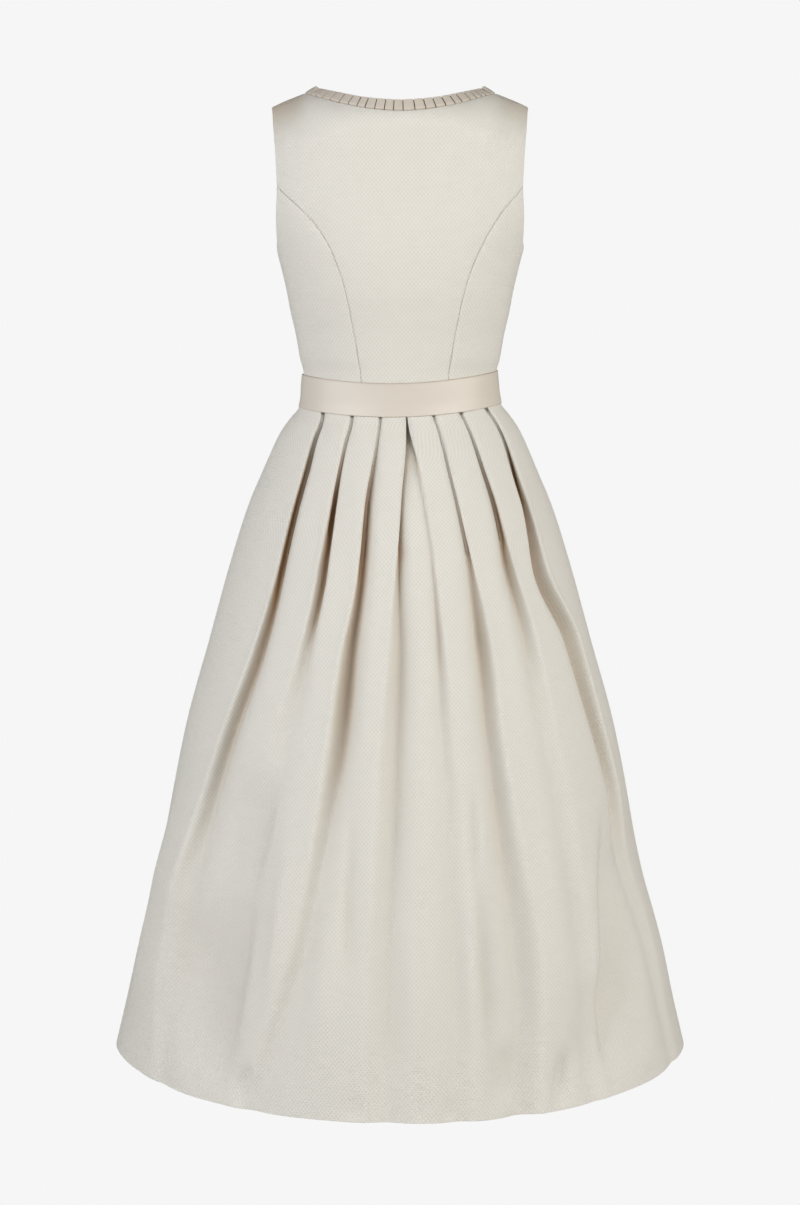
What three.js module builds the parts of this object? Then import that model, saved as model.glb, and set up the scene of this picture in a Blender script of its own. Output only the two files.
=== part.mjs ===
import * as THREE from 'three';

// A sleeveless dirndl dress, worn and filled out, its form held hollow.
// Millimetres, +Z up. The wearer faces -Y, so +Y is the back and +X the wearer's left.
// The origin lies midway between the shoulder seams, level with their neck ends.
// Angles run round the body: 0 at the centre back, 90 on the wearer's left, 180 at the centre front.
// "up" is measured along the cloth: it equals z below the shoulders, where the cloth rounds over.

const DEGREE = Math.PI / 180;

// ---- cloth ----
const SEAM_GAP = 0.3;
const BODICE_WALL = 1.8;
const SKIRT_WALL = 1.0;
const BAND_WALL = 1.2;
const TRIM_WALL = 1.0;

// ---- bodice form: half width at the sides, depth behind and before, squareness of the section ----
const BODICE_FORM = [
  { z: -404, half: 124.3, back: 89.5, front: 96.5, square: 2 },
  { z: -375, half: 124.6, back: 89.3, front: 96.7, square: 2 },
  { z: -358, half: 125.1, back: 89.8, front: 97.3, square: 2 },
  { z: -340, half: 129.6, back: 91.5, front: 100, square: 2.1 },
  { z: -310, half: 134.7, back: 95, front: 105, square: 2.15 },
  { z: -280, half: 141.6, back: 100, front: 111, square: 2.2 },
  { z: -252, half: 146.8, back: 104, front: 116, square: 2.25 },
  { z: -207, half: 157.7, back: 105.5, front: 119, square: 2.35 },
  { z: -182, half: 165, back: 104.5, front: 116, square: 2.45 },
  { z: -143, half: 174.5, back: 101, front: 108, square: 2.55 },
  { z: -90, half: 176, back: 98, front: 100, square: 2.6 },
];
const BUST = { apart: 80, height: -226, wide: 52, tall: 66, rise: 15 };
// How roundly the cloth goes over the shoulders: the upper back stays upright between them.
const SHOULDER_ROUND = [
  { x: -60, round: 50 },
  { x: 0, round: 45 },
  { x: 60, round: 50 },
  { x: 105, round: 72 },
  { x: 140, round: 95 },
  { x: 180, round: 95 },
];
const SHOULDER_LINE = [
  { x: 0, z: 1.5 },
  { x: 116, z: 0.9 },
  { x: 122, z: -0.4 },
  { x: 134.5, z: -4.9 },
  { x: 146.7, z: -9.8 },
  { x: 159.3, z: -15 },
  { x: 166, z: -19 },
  { x: 176, z: -25 },
];
// A small step of angle, and of millimetres along the cloth, for the form's slopes.
const SLOPE_STEP = { angle: 0.002, up: 0.2 };

// ---- bodice cut ----
const WAIST = -404;
const WAIST_LIFT = 11;
const WAIST_TILT = 2.5;
const PRINCESS_TOP = -120;
const PRINCESS_SEAM = [
  { up: -404, angle: 35 },
  { up: -364, angle: 35 },
  { up: -315, angle: 36.6 },
  { up: -260, angle: 38.8 },
  { up: -205, angle: 45.3 },
  { up: -155, angle: 56.6 },
  { up: PRINCESS_TOP, angle: 69.6 },
];
const CLOTH_TURN = [
  { up: -404, turn: 4.4 },
  { up: -310, turn: 3.2 },
  { up: -200, turn: 2.9 },
  { up: PRINCESS_TOP, turn: 0 },
];
const UNDERARM = -206;
const SHOULDER_TIP = 166;
const ARMHOLE_BACK = [
  { up: -190, x: 158.6 },
  { up: -162, x: 159.4 },
  { up: PRINCESS_TOP, x: 157.8 },
  { up: -85, x: 159.4 },
  { up: -40, x: 162.6 },
  { up: 36, x: SHOULDER_TIP },
];
const ARMHOLE_FRONT = [
  { up: -190, x: 157.5 },
  { up: -162, x: 153.5 },
  { up: PRINCESS_TOP, x: 151 },
  { up: -85, x: 154 },
  { up: -40, x: 160.5 },
  { up: 36, x: SHOULDER_TIP },
];
// The neckline is drawn over shoulders of its own round, then laid on the form.
const NECK = { half: 123, bend: 1.85, crowd: 1.3, back: -16.8, front: -150, round: 95 };
const SEAM_ROWS = 7;
const ARMHOLE_ROWS = 5;
const UNDERARM_ROWS = 4;
const NECK_COLUMNS = 9;
const SHOULDER_COLUMNS = 2;
// How a panel's rows and columns spread between its edges.
const STRAIGHT_DOWN = 1.8;
const BESIDE_EDGES = 3;
const UNDERARM_SPREAD = 0.8;
const TOP_PULL = 6;

// ---- pleated neck trim ----
// The strip climbs at this angle where it can, within these angles off the cloth beside it.
const TRIM = { seat: 0.5, wide: 15.5, climb: 58, lean: -6, stand: 15, pitch: 12, rise: 1.6, turn: 0.06 };

// ---- waistband ----
const BAND = [
  { z: -369, half: 128.2, back: 92, front: 99.6 },
  { z: -396, half: 129.2, back: 93.9, front: 100.5 },
  { z: -412, half: 133, back: 97.6, front: 103.6 },
];
const BAND_COLUMNS = 52;

// ---- skirt: outer size of each ring, and how far its folds lie over each other ----
const SKIRT = [
  { z: -404.3, half: 128.5, back: 93.2, front: 99.4, square: 2, lap: 20 },
  { z: -412, half: 131, back: 95.4, front: 101.6, square: 2, lap: 20 },
  { z: -424, half: 142, back: 106, front: 110, square: 2, lap: 19.5 },
  { z: -441, half: 155, back: 120, front: 121, square: 2, lap: 18 },
  { z: -476, half: 173, back: 141, front: 137, square: 2, lap: 15 },
  { z: -525, half: 195.2, back: 165, front: 155, square: 2, lap: 10 },
  { z: -603, half: 220.4, back: 195, front: 180, square: 2, lap: 5 },
  { z: -708, half: 249.6, back: 226, front: 208, square: 2, lap: 1 },
  { z: -813, half: 278.8, back: 254, front: 235, square: 1.98, lap: 0 },
  { z: -919, half: 300.4, back: 280, front: 261, square: 1.96, lap: 0 },
  { z: -1026, half: 320.7, back: 305, front: 285, square: 1.94, lap: 0 },
  { z: -1133, half: 345.7, back: 328, front: 307, square: 1.92, lap: 0 },
  { z: -1263, half: 374.5, back: 351, front: 331, square: 1.9, lap: 0 },
];
const LIFT_ENDS = -500;
const HEM_LIFT = { starts: -960, ends: -1263 };
// How far the hem rises at each angle round the body.
const HEM_RISE = [
  { angle: -180, rise: 0 },
  { angle: -130, rise: 11 },
  { angle: -90, rise: 22 },
  { angle: -80, rise: 21 },
  { angle: -70, rise: 16.5 },
  { angle: -60, rise: 10.5 },
  { angle: -49, rise: 6.5 },
  { angle: -40, rise: 2.6 },
  { angle: -27, rise: 0 },
  { angle: -10, rise: -1 },
  { angle: 25, rise: 1.4 },
  { angle: 39, rise: 4.6 },
  { angle: 48, rise: 8 },
  { angle: 56, rise: 11.6 },
  { angle: 65, rise: 16.6 },
  { angle: 80, rise: 21.4 },
  { angle: 90, rise: 22 },
  { angle: 130, rise: 11 },
  { angle: 180, rise: 0 },
];
const LAYER_PITCH = 1.55;
const FOLD_SLANT = 0.3;
const PRESSED = -415;
const PLAIN_CLIMB = 20;
const STRIP_POINTS = 2;
// A strip with less room than the first of these lies level, one with the second climbs fully.
const BOX_LEVEL = { least: -4, most: 32 };
// This fold of the back and the one before it face each other over a box pleat.
const BOXED_FOLD = 4;
const FOLD_CLEAR = 4;
// A fold laps over the cloth beside it by this much less for each millimetre of its open wall.
const WALL_OPENS = 3;
// Each fold's edge rolls up, over this width of the cloth before it, by a part of the valley's depth.
const EDGE_ROLL = { wide: 8, rise: 0.12 };
const SHARPEST_MITRE = 0.7;
const RINGS = [-404.3, -412, -428, -458, -508, -580, -660, -760, -890, -1070, -1263];

// Each fold: which way its edge faces, where the edge runs at these heights as a part of the half
// width, how deep its valley is, how wide the wall under its edge is (0: folded over), and how far
// the cloth beside it takes to climb out of the valley again.
const FOLD_HEIGHTS = [-404, -430, -520, -600, -700, -800, -900, -1050, -1150, -1263];
const VALLEY_HEIGHTS = [-430, -475, -520, -560, -600, -650, -700, -760, -830, -900, -1050, -1263];
const BACK_FOLDS = [
  {
    faces: 1,
    at: [-0.866, -0.864, -0.836, -0.815, -0.912, -0.926, -0.943, -0.948, -0.945, -0.945],
    deep: [3.2, 10, 21, 22, 22, 23, 24, 22, 20, 16, 7, 4],
    wall: [0, 0, 2, 8, 12, 15, 16, 14, 13, 14, 18, 20],
    climb: [4, 8, 9, 11, 17, 28, 33, 33, 32, 34, 40, 40],
  },
  {
    faces: 1,
    at: [-0.614, -0.61, -0.635, -0.646, -0.67, -0.665, -0.687, -0.697, -0.676, -0.655],
    deep: [3.2, 5, 7, 9, 13, 12, 11, 7, 6, 6, 5, 4],
    wall: [0, 0, 0, 1, 4, 9, 13, 17, 20, 20, 20, 20],
    climb: [3, 7, 15, 22, 25, 26, 27, 28, 30, 30, 30, 30],
  },
  {
    faces: 1,
    at: [-0.346, -0.353, -0.387, -0.42, -0.436, -0.42, -0.43, -0.455, -0.44, -0.4],
    deep: [3.2, 3.4, 3.8, 5.2, 7.5, 13, 17, 16, 16, 17, 17, 12],
    wall: [0, 0, 0, 0, 2, 6, 9, 12, 15, 19, 26, 30],
    climb: [4, 9, 15, 20, 26, 30, 32, 34, 38, 46, 52, 55],
  },
  {
    faces: 1,
    at: [-0.073, -0.085, -0.16, -0.195, -0.208, -0.2, -0.203, -0.198, -0.195, -0.19],
    deep: [9, 5, 4, 4, 5, 7, 10, 10, 9, 9, 9, 7],
    wall: [0, 5, 3.5, 3, 3, 4, 6, 10, 14, 20, 25, 25],
    climb: [10, 22, 30, 30, 28, 24, 28, 30, 30, 30, 30, 30],
  },
  {
    faces: -1,
    at: [-0.053, -0.05, -0.004, 0.01, -0.001, 0.006, 0.016, 0.036, 0.042, 0.045],
    deep: [14, 12, 12, 11, 11, 13, 16, 18, 17, 17, 14, 9],
    wall: [0, 0, 0, 1, 4, 10, 15, 20, 24, 26, 28, 30],
    climb: [16, 22, 26, 30, 32, 36, 38, 38, 36, 38, 45, 50],
  },
  {
    faces: -1,
    at: [0.215, 0.2, 0.233, 0.238, 0.268, 0.277, 0.31, 0.368, 0.425, 0.5],
    deep: [3.6, 7, 11, 13, 14, 17, 21, 24, 21, 15, 9, 6],
    wall: [0, 0, 0, 0, 1, 3, 8, 12, 14, 13, 14, 16],
    climb: [5, 12, 18, 22, 24, 27, 30, 32, 36, 40, 42, 45],
  },
  {
    faces: -1,
    at: [0.504, 0.458, 0.454, 0.452, 0.48, 0.515, 0.54, 0.57, 0.59, 0.61],
    deep: [4.6, 5.2, 12, 16, 16, 13, 9, 8, 5, 3, 2, 2],
    wall: [0, 0, 0, 2, 5, 6, 10, 16, 24, 30, 30, 30],
    climb: [5, 4, 6, 7, 8, 8, 12, 25, 30, 30, 30, 30],
  },
  {
    faces: -1,
    at: [0.8, 0.726, 0.698, 0.703, 0.735, 0.788, 0.838, 0.866, 0.86, 0.815],
    deep: [6.6, 9.2, 10.2, 10.2, 11, 15, 19, 19, 17, 13, 5, 4],
    wall: [0, 0, 0, 0, 0, 1, 4, 7, 9, 10, 14, 16],
    climb: [6, 12, 16, 19, 22, 25, 29, 35, 45, 50, 50, 50],
  },
];
const FRONT_FOLDS = [
  {
    faces: 1,
    at: [0.86, 0.77, 0.76, 0.76, 0.77, 0.78, 0.79, 0.8, 0.805, 0.81],
    deep: [8, 11, 13, 15, 17, 16, 16, 14, 11, 10, 9, 8],
    wall: [0, 0, 0, 0, 3, 8, 12, 16, 18, 20, 22, 24],
    climb: [16, 25, 30, 30, 32, 35, 38, 40, 42, 45, 48, 50],
  },
  {
    faces: 1,
    at: [0.6, 0.53, 0.55, 0.59, 0.61, 0.64, 0.66, 0.68, 0.69, 0.7],
    deep: [6, 9, 11, 12, 14, 12, 11, 10, 9, 8, 8, 6],
    wall: [0, 0, 0, 0, 3, 8, 12, 16, 18, 20, 22, 24],
    climb: [16, 25, 30, 30, 32, 35, 38, 40, 42, 45, 48, 50],
  },
  {
    faces: 1,
    at: [0.32, 0.28, 0.31, 0.35, 0.37, 0.39, 0.41, 0.43, 0.44, 0.45],
    deep: [8, 11, 14, 16, 18, 18, 18, 17, 15, 12, 10, 8],
    wall: [0, 0, 0, 0, 3, 8, 12, 16, 18, 20, 22, 24],
    climb: [16, 25, 30, 30, 32, 35, 38, 40, 42, 45, 48, 50],
  },
  {
    faces: -1,
    at: [-0.32, -0.28, -0.3, -0.34, -0.36, -0.38, -0.4, -0.41, -0.43, -0.44],
    deep: [8, 11, 13, 15, 17, 18, 18, 17, 16, 12, 10, 8],
    wall: [0, 0, 0, 0, 3, 8, 12, 16, 18, 20, 22, 24],
    climb: [16, 25, 30, 30, 32, 35, 38, 40, 42, 45, 48, 50],
  },
  {
    faces: -1,
    at: [-0.6, -0.53, -0.55, -0.6, -0.62, -0.65, -0.67, -0.69, -0.7, -0.71],
    deep: [6, 9, 11, 12, 14, 12, 11, 10, 10, 9, 8, 6],
    wall: [0, 0, 0, 0, 3, 8, 12, 16, 18, 20, 22, 24],
    climb: [16, 25, 30, 30, 32, 35, 38, 40, 42, 45, 48, 50],
  },
  {
    faces: -1,
    at: [-0.86, -0.77, -0.76, -0.765, -0.78, -0.79, -0.8, -0.805, -0.81, -0.815],
    deep: [8, 11, 13, 15, 17, 16, 16, 14, 11, 10, 9, 8],
    wall: [0, 0, 0, 0, 3, 8, 12, 16, 18, 20, 22, 24],
    climb: [16, 25, 30, 30, 32, 35, 38, 40, 42, 45, 48, 50],
  },
];

// ---- materials ----
const CREAM_JACQUARD = { color: 0xdedbd1, roughness: 0.72, metalness: 0 };
const CHAMPAGNE_SATIN = { color: 0xd3c7bc, roughness: 0.42, metalness: 0 };

// A smooth curve through one column of a table, read at any value of the key column.
function curve(rows, key, column) {
  const sorted = [...rows].sort((a, b) => a[key] - b[key]);
  const keys = sorted.map((row) => row[key]);
  const values = sorted.map((row) => row[column]);
  const steepness = keys.slice(1).map((k, i) => (values[i + 1] - values[i]) / (k - keys[i]));
  const last = steepness.length - 1;
  const slopes = keys.map((_, i) => {
    const before = steepness[Math.max(i - 1, 0)];
    const after = steepness[Math.min(i, last)];
    return before * after > 0 ? (2 * before * after) / (before + after) : 0;
  });
  return (at) => {
    const inside = THREE.MathUtils.clamp(at, keys[0], keys[last + 1]);
    let i = last;
    while (i > 0 && inside < keys[i]) i -= 1;
    const span = keys[i + 1] - keys[i];
    const t = (inside - keys[i]) / span;
    const straight = values[i] + (values[i + 1] - values[i]) * t * t * (3 - 2 * t);
    return straight + span * t * (1 - t) * (slopes[i] * (1 - t) - slopes[i + 1] * t);
  };
}

function columns(rows, key, names) {
  return Object.fromEntries(names.map((name) => [name, curve(rows, key, name)]));
}

function waistLift(angle) {
  return WAIST_LIFT * Math.sin(angle) ** 2 - WAIST_TILT * Math.sin(angle);
}

// ---------------------------------------------------------------- bodice

const form = columns(BODICE_FORM, 'z', ['half', 'back', 'front', 'square']);
const shoulder = curve(SHOULDER_LINE, 'x', 'z');
const shoulderRound = curve(SHOULDER_ROUND, 'x', 'round');
const princessAngle = curve(PRINCESS_SEAM, 'up', 'angle');
const clothTurn = curve(CLOTH_TURN, 'up', 'turn');
const armholeBack = curve(ARMHOLE_BACK, 'up', 'x');
const armholeFront = curve(ARMHOLE_FRONT, 'up', 'x');

function ridgeUp(x, round = shoulderRound(Math.abs(x))) {
  return shoulder(Math.abs(x)) + round * (Math.PI / 2 - 1);
}

// The height that a place along the cloth has, where the cloth goes over a round shoulder, and back.
function heightAt(x, up, round) {
  const start = shoulder(Math.abs(x)) - round;
  return up < start ? up : start + round * Math.sin((up - start) / round);
}

function upAt(x, height, round) {
  const start = shoulder(Math.abs(x)) - round;
  return height < start ? height : start + round * Math.asin(Math.min(1, (height - start) / round));
}

function bodicePoint(angle, up) {
  const half = form.half(up);
  const depth = Math.cos(angle) > 0 ? form.back(up) : form.front(up);
  const square = form.square(up);
  const flat = Math.abs(Math.sin(angle) / half) ** square + Math.abs(Math.cos(angle) / depth) ** square;
  const reach = flat ** (-1 / square);
  const beside = (Math.abs(reach * Math.sin(angle)) - BUST.apart) / BUST.wide;
  const above = (up - BUST.height) / BUST.tall;
  const bust = BUST.rise * Math.exp(-beside * beside - above * above) * Math.max(0, -Math.cos(angle));
  const x = (reach + bust) * Math.sin(angle);
  const y = (reach + bust) * Math.cos(angle);
  const round = shoulderRound(Math.abs(x));
  const over = Math.max(0, up - shoulder(Math.abs(x)) + round) / round;
  return new THREE.Vector3(x, y * Math.cos(over), heightAt(x, up, round));
}

function bodiceFrame(angle, up) {
  const { angle: turn, up: reach } = SLOPE_STEP;
  const round = bodicePoint(angle + turn, up).sub(bodicePoint(angle - turn, up)).divideScalar(2 * turn);
  const rising = bodicePoint(angle, up + reach).sub(bodicePoint(angle, up - reach));
  return { round, normal: rising.cross(round).normalize() };
}

// The angle at which the cloth lies x from the middle, behind (facing 1) or before (facing -1).
function angleAtX(x, up, facing) {
  const depth = facing > 0 ? form.back(up) : form.front(up);
  const part = Math.min(1, Math.abs(x) / form.half(up)) ** form.square(up);
  const y = depth * (1 - part) ** (1 / form.square(up));
  const angle = Math.atan2(x, facing * y);
  return facing < 0 && x < 0 ? angle + 2 * Math.PI : angle;
}

function steps(count) {
  return Array.from({ length: count + 1 }, (_, i) => i / count);
}

// Points of the cut are [angle, up]. Side is 1 on the wearer's left and -1 on the right.
function waistPoint(angle) {
  return [angle, WAIST + waistLift(angle)];
}

function sideAngle(side, facing, up) {
  const angle = side * 90 * DEGREE - clothTurn(up) * DEGREE;
  return facing < 0 && side < 0 ? angle + 2 * Math.PI : angle;
}

function princessAngleAt(side, facing, up) {
  const behind = side * princessAngle(up) * DEGREE - clothTurn(up) * DEGREE;
  if (facing > 0) return behind;
  return Math.PI - side * princessAngle(up) * DEGREE;
}

function armholePoint(side, facing, up) {
  const edge = facing > 0 ? armholeBack(up) : armholeFront(up);
  return [angleAtX(side * edge, up, facing), up];
}

function princessSeam(side, facing) {
  const top = armholePoint(side, facing, PRINCESS_TOP);
  const pull = top[0] - princessAngleAt(side, facing, PRINCESS_TOP);
  const foot = waistPoint(princessAngleAt(side, facing, WAIST))[1];
  return steps(SEAM_ROWS).map((t) => {
    const up = foot + (PRINCESS_TOP - foot) * t;
    return [princessAngleAt(side, facing, up) + pull * t ** TOP_PULL, up];
  });
}

function armholeAbove(side, facing) {
  const tip = ridgeUp(SHOULDER_TIP) - SEAM_GAP;
  return steps(ARMHOLE_ROWS).slice(1).map((t) => {
    return armholePoint(side, facing, PRINCESS_TOP + (tip - PRINCESS_TOP) * t);
  });
}

function sideSeam(side, facing) {
  const foot = waistPoint(sideAngle(side, facing, WAIST))[1];
  return steps(SEAM_ROWS).map((t) => {
    const up = foot + (UNDERARM - foot) * t;
    return [sideAngle(side, facing, up), up];
  });
}

// From the top of the princess seam down to the top of the side seam.
function armholeBelow(side, facing) {
  const lowest = ARMHOLE_BACK[0].up;
  const curved = steps(UNDERARM_ROWS - 1).map((t) => {
    return armholePoint(side, facing, PRINCESS_TOP + (lowest - PRINCESS_TOP) * t ** UNDERARM_SPREAD);
  });
  return [...curved, [sideAngle(side, facing, UNDERARM), UNDERARM]];
}

// How far each point of an edge lies along it, from 0 to 1, by one of its two coordinates.
function shares(edge, k) {
  const whole = edge[edge.length - 1][k] - edge[0][k];
  return edge.map((point) => (point[k] - edge[0][k]) / whole);
}

// The waist edge of a panel, its points spread as those of the edge above are.
function waistEdge(from, to, above) {
  return shares(above, 0).map((t) => waistPoint(from + (to - from) * t));
}

function shoulderSeam(side, facing, from, to) {
  return steps(SHOULDER_COLUMNS).map((t) => {
    const x = from + (to - from) * t;
    const up = ridgeUp(x) - SEAM_GAP;
    return [angleAtX(side * x, up, facing), up];
  });
}

// Half of the neckline, from the shoulder seam to the centre.
function neckline(side, facing, count) {
  const lowest = facing > 0 ? NECK.back : NECK.front;
  const top = ridgeUp(NECK.half, NECK.round) - SEAM_GAP;
  return steps(count).map((t) => {
    const quarter = (t ** NECK.crowd * Math.PI) / 2;
    const x = NECK.half * Math.cos(quarter) ** (2 / NECK.bend);
    const drawn = top + (lowest - top) * Math.sin(quarter) ** (2 / NECK.bend);
    const laid = upAt(x, heightAt(x, drawn, NECK.round), shoulderRound(x));
    const up = t === 0 ? ridgeUp(NECK.half) - SEAM_GAP : laid;
    const centre = facing > 0 ? 0 : Math.PI;
    return [t === 1 ? centre : angleAtX(side * x, up, facing), up];
  });
}

// Draws a seam edge in by half the seam gap, square to the seam. Way is 1 where the panel lies beyond it.
function drawIn(edge, way) {
  return edge.map(([angle, up], i) => {
    const before = edge[Math.max(i - 1, 0)];
    const after = edge[Math.min(i + 1, edge.length - 1)];
    const slant = (after[0] - before[0]) / (after[1] - before[1]);
    const metric = bodiceFrame(angle, up).round.length();
    const inset = (SEAM_GAP / 2) * Math.hypot(1, slant * metric);
    return [angle + (way * inset) / metric, up];
  });
}

// Fills a panel between its four edges: low and high run along the angle, from and to run upward.
function coons(low, high, from, to) {
  const last = low.length - 1;
  const beside = shares(low, 0);
  const above = shares(from, 1);
  return above.map((height, j) => beside.map((s, i) => [0, 1].map((k) => {
    const t = k === 0 ? 1 - (1 - height) ** STRAIGHT_DOWN : height;
    const r = (1 + (2 * s - 1) ** BESIDE_EDGES) / 2;
    const ruled = (1 - t) * low[i][k] + t * high[i][k] + (1 - r) * from[j][k] + r * to[j][k];
    const foot = (1 - r) * low[0][k] + r * low[last][k];
    const head = (1 - r) * high[0][k] + r * high[last][k];
    return ruled - (1 - t) * foot - t * head;
  })));
}

// A closed wall between an outer and an inner grid of points.
function wall(outer, inner) {
  const rows = outer.length;
  const across = outer[0].length;
  const positions = [...outer.flat(), ...inner.flat()].flatMap((p) => [p.x, p.y, p.z]);
  const index = [];
  const out = (j, i) => j * across + i;
  const inn = (j, i) => rows * across + j * across + i;
  const quad = (a, b, c, d) => index.push(a, b, c, a, c, d);
  for (let j = 0; j + 1 < rows; j += 1) {
    for (let i = 0; i + 1 < across; i += 1) {
      quad(out(j, i), out(j + 1, i), out(j + 1, i + 1), out(j, i + 1));
      quad(inn(j, i), inn(j, i + 1), inn(j + 1, i + 1), inn(j + 1, i));
    }
    quad(out(j, 0), inn(j, 0), inn(j + 1, 0), out(j + 1, 0));
    quad(out(j, across - 1), out(j + 1, across - 1), inn(j + 1, across - 1), inn(j, across - 1));
  }
  for (let i = 0; i + 1 < across; i += 1) {
    quad(out(0, i), out(0, i + 1), inn(0, i + 1), inn(0, i));
    quad(out(rows - 1, i), inn(rows - 1, i), inn(rows - 1, i + 1), out(rows - 1, i + 1));
  }
  const geometry = new THREE.BufferGeometry();
  geometry.setAttribute('position', new THREE.Float32BufferAttribute(positions, 3));
  geometry.setIndex(index);
  return geometry;
}

function bodicePanel(cut) {
  const outer = cut.map((row) => row.map(([angle, up]) => bodicePoint(angle, up)));
  const inner = cut.map((row, j) => row.map(([angle, up], i) => {
    return outer[j][i].clone().addScaledVector(bodiceFrame(angle, up).normal, -BODICE_WALL);
  }));
  return wall(outer, inner);
}

function centreBack() {
  const right = [...drawIn(princessSeam(-1, 1), 1), ...armholeAbove(-1, 1)];
  const left = [...drawIn(princessSeam(1, 1), -1), ...armholeAbove(1, 1)];
  const rightShoulder = shoulderSeam(-1, 1, SHOULDER_TIP, NECK.half);
  const leftShoulder = shoulderSeam(1, 1, NECK.half, SHOULDER_TIP);
  const rightNeck = neckline(-1, 1, NECK_COLUMNS).slice(1);
  const leftNeck = neckline(1, 1, NECK_COLUMNS).reverse().slice(1, -1);
  const high = [...rightShoulder, ...rightNeck, ...leftNeck, ...leftShoulder];
  const low = waistEdge(right[0][0], left[0][0], high);
  return bodicePanel(coons(low, high, right, left));
}

function sideBack(side) {
  const centreEdge = drawIn(princessSeam(side, 1), side);
  const outerEdge = drawIn(sideSeam(side, 1), -side);
  return sidePanel(centreEdge, outerEdge, armholeBelow(side, 1), side > 0);
}

function sideFront(side) {
  const centreEdge = drawIn(princessSeam(side, -1), -side);
  const outerEdge = drawIn(sideSeam(side, -1), side);
  return sidePanel(centreEdge, outerEdge, armholeBelow(side, -1), side < 0);
}

// A side panel between its princess seam and its side seam, its top cut by the armhole.
function sidePanel(centreEdge, outerEdge, armhole, centreFirst) {
  const high = [centreEdge[SEAM_ROWS], ...armhole.slice(1, -1), outerEdge[SEAM_ROWS]];
  const low = waistEdge(centreEdge[0][0], outerEdge[0][0], high);
  if (centreFirst) return bodicePanel(coons(low, high, centreEdge, outerEdge));
  return bodicePanel(coons([...low].reverse(), [...high].reverse(), outerEdge, centreEdge));
}

function front(side) {
  const armSide = [...drawIn(princessSeam(side, -1), side), ...armholeAbove(side, -1)];
  const neck = neckline(side, -1, NECK_COLUMNS);
  const high = [...shoulderSeam(side, -1, SHOULDER_TIP, NECK.half), ...neck.slice(1)];
  const centre = drawIn(shares(armSide, 1).map((t) => [Math.PI, WAIST + (NECK.front - WAIST) * t]), -side);
  high[high.length - 1] = centre[centre.length - 1];
  const low = waistEdge(armSide[0][0], centre[0][0], high);
  if (side > 0) return bodicePanel(coons(low, high, armSide, centre));
  return bodicePanel(coons([...low].reverse(), [...high].reverse(), centre, armSide));
}

// ---------------------------------------------------------------- neck trim

// The whole neckline as points of the form, from the centre front round the back to the centre front.
function neckRound() {
  const count = NECK_COLUMNS;
  const right = [neckline(-1, -1, count).reverse(), neckline(-1, 1, count).slice(1)].flat();
  const left = [neckline(1, 1, count).reverse().slice(1), neckline(1, -1, count).slice(1)].flat();
  return [...right, ...left].map(([angle, up]) => {
    return { point: bodicePoint(angle, up), normal: bodiceFrame(angle, up).normal };
  });
}

function neckTrim() {
  const round = neckRound();
  const lengths = [0];
  round.slice(1).forEach((spot, i) => lengths.push(lengths[i] + spot.point.distanceTo(round[i].point)));
  const total = lengths[lengths.length - 1] - SEAM_GAP;
  const pleats = Math.round(total / TRIM.pitch);
  const pitch = total / pleats;
  const spotAt = (length) => {
    let i = 0;
    while (i + 2 < lengths.length && lengths[i + 1] < length) i += 1;
    const t = (length - lengths[i]) / (lengths[i + 1] - lengths[i]);
    const point = round[i].point.clone().lerp(round[i + 1].point, t);
    const normal = round[i].normal.clone().lerp(round[i + 1].normal, t).normalize();
    const along = round[i + 1].point.clone().sub(round[i].point).normalize();
    return { point, normal, along };
  };
  const edge = [];
  for (let k = 0; k < pleats; k += 1) {
    edge.push({ length: SEAM_GAP / 2 + k * pitch, lift: 0 });
    edge.push({ length: SEAM_GAP / 2 + (k + 1 - TRIM.turn) * pitch, lift: TRIM.rise });
  }
  edge.push({ length: SEAM_GAP / 2 + total, lift: 0 });
  const rows = [TRIM.seat, TRIM.seat + TRIM.wide].map((reach) => edge.map(({ length, lift }) => {
    const { point, normal, along } = spotAt(length);
    const away = along.clone().cross(normal).normalize();
    const climb = TRIM.climb * DEGREE - Math.asin(away.z);
    const stand = THREE.MathUtils.clamp(climb, TRIM.lean * DEGREE, TRIM.stand * DEGREE);
    const across = away.clone().multiplyScalar(Math.cos(stand)).addScaledVector(normal, Math.sin(stand));
    const face = normal.clone().multiplyScalar(Math.cos(stand)).addScaledVector(away, -Math.sin(stand));
    const outer = point.clone().addScaledVector(across, reach).addScaledVector(face, lift);
    return { outer, inner: outer.clone().addScaledVector(face, -TRIM_WALL) };
  }));
  return wall(rows.map((row) => row.map((p) => p.outer)), rows.map((row) => row.map((p) => p.inner)));
}

// ---------------------------------------------------------------- waistband

function waistband() {
  const size = columns(BAND, 'z', ['half', 'back', 'front']);
  const ends = Math.asin(SEAM_GAP / 2 / BAND[0].front);
  const ring = (z, inset) => steps(BAND_COLUMNS).map((t) => {
    const angle = -Math.PI + ends + (2 * Math.PI - 2 * ends) * t;
    const depth = Math.cos(angle) > 0 ? size.back(z) : size.front(z);
    const x = (size.half(z) - inset) * Math.sin(angle);
    return new THREE.Vector3(x, (depth - inset) * Math.cos(angle), z + waistLift(angle));
  });
  const rows = BAND.map((row) => row.z).reverse();
  return wall(rows.map((z) => ring(z, 0)), rows.map((z) => ring(z, BAND_WALL)));
}

// ---------------------------------------------------------------- skirt

const skirtSize = columns(SKIRT, 'z', ['half', 'back', 'front', 'square', 'lap']);
const hemRise = curve(HEM_RISE, 'angle', 'rise');
const RING_STEPS = 270;

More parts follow.
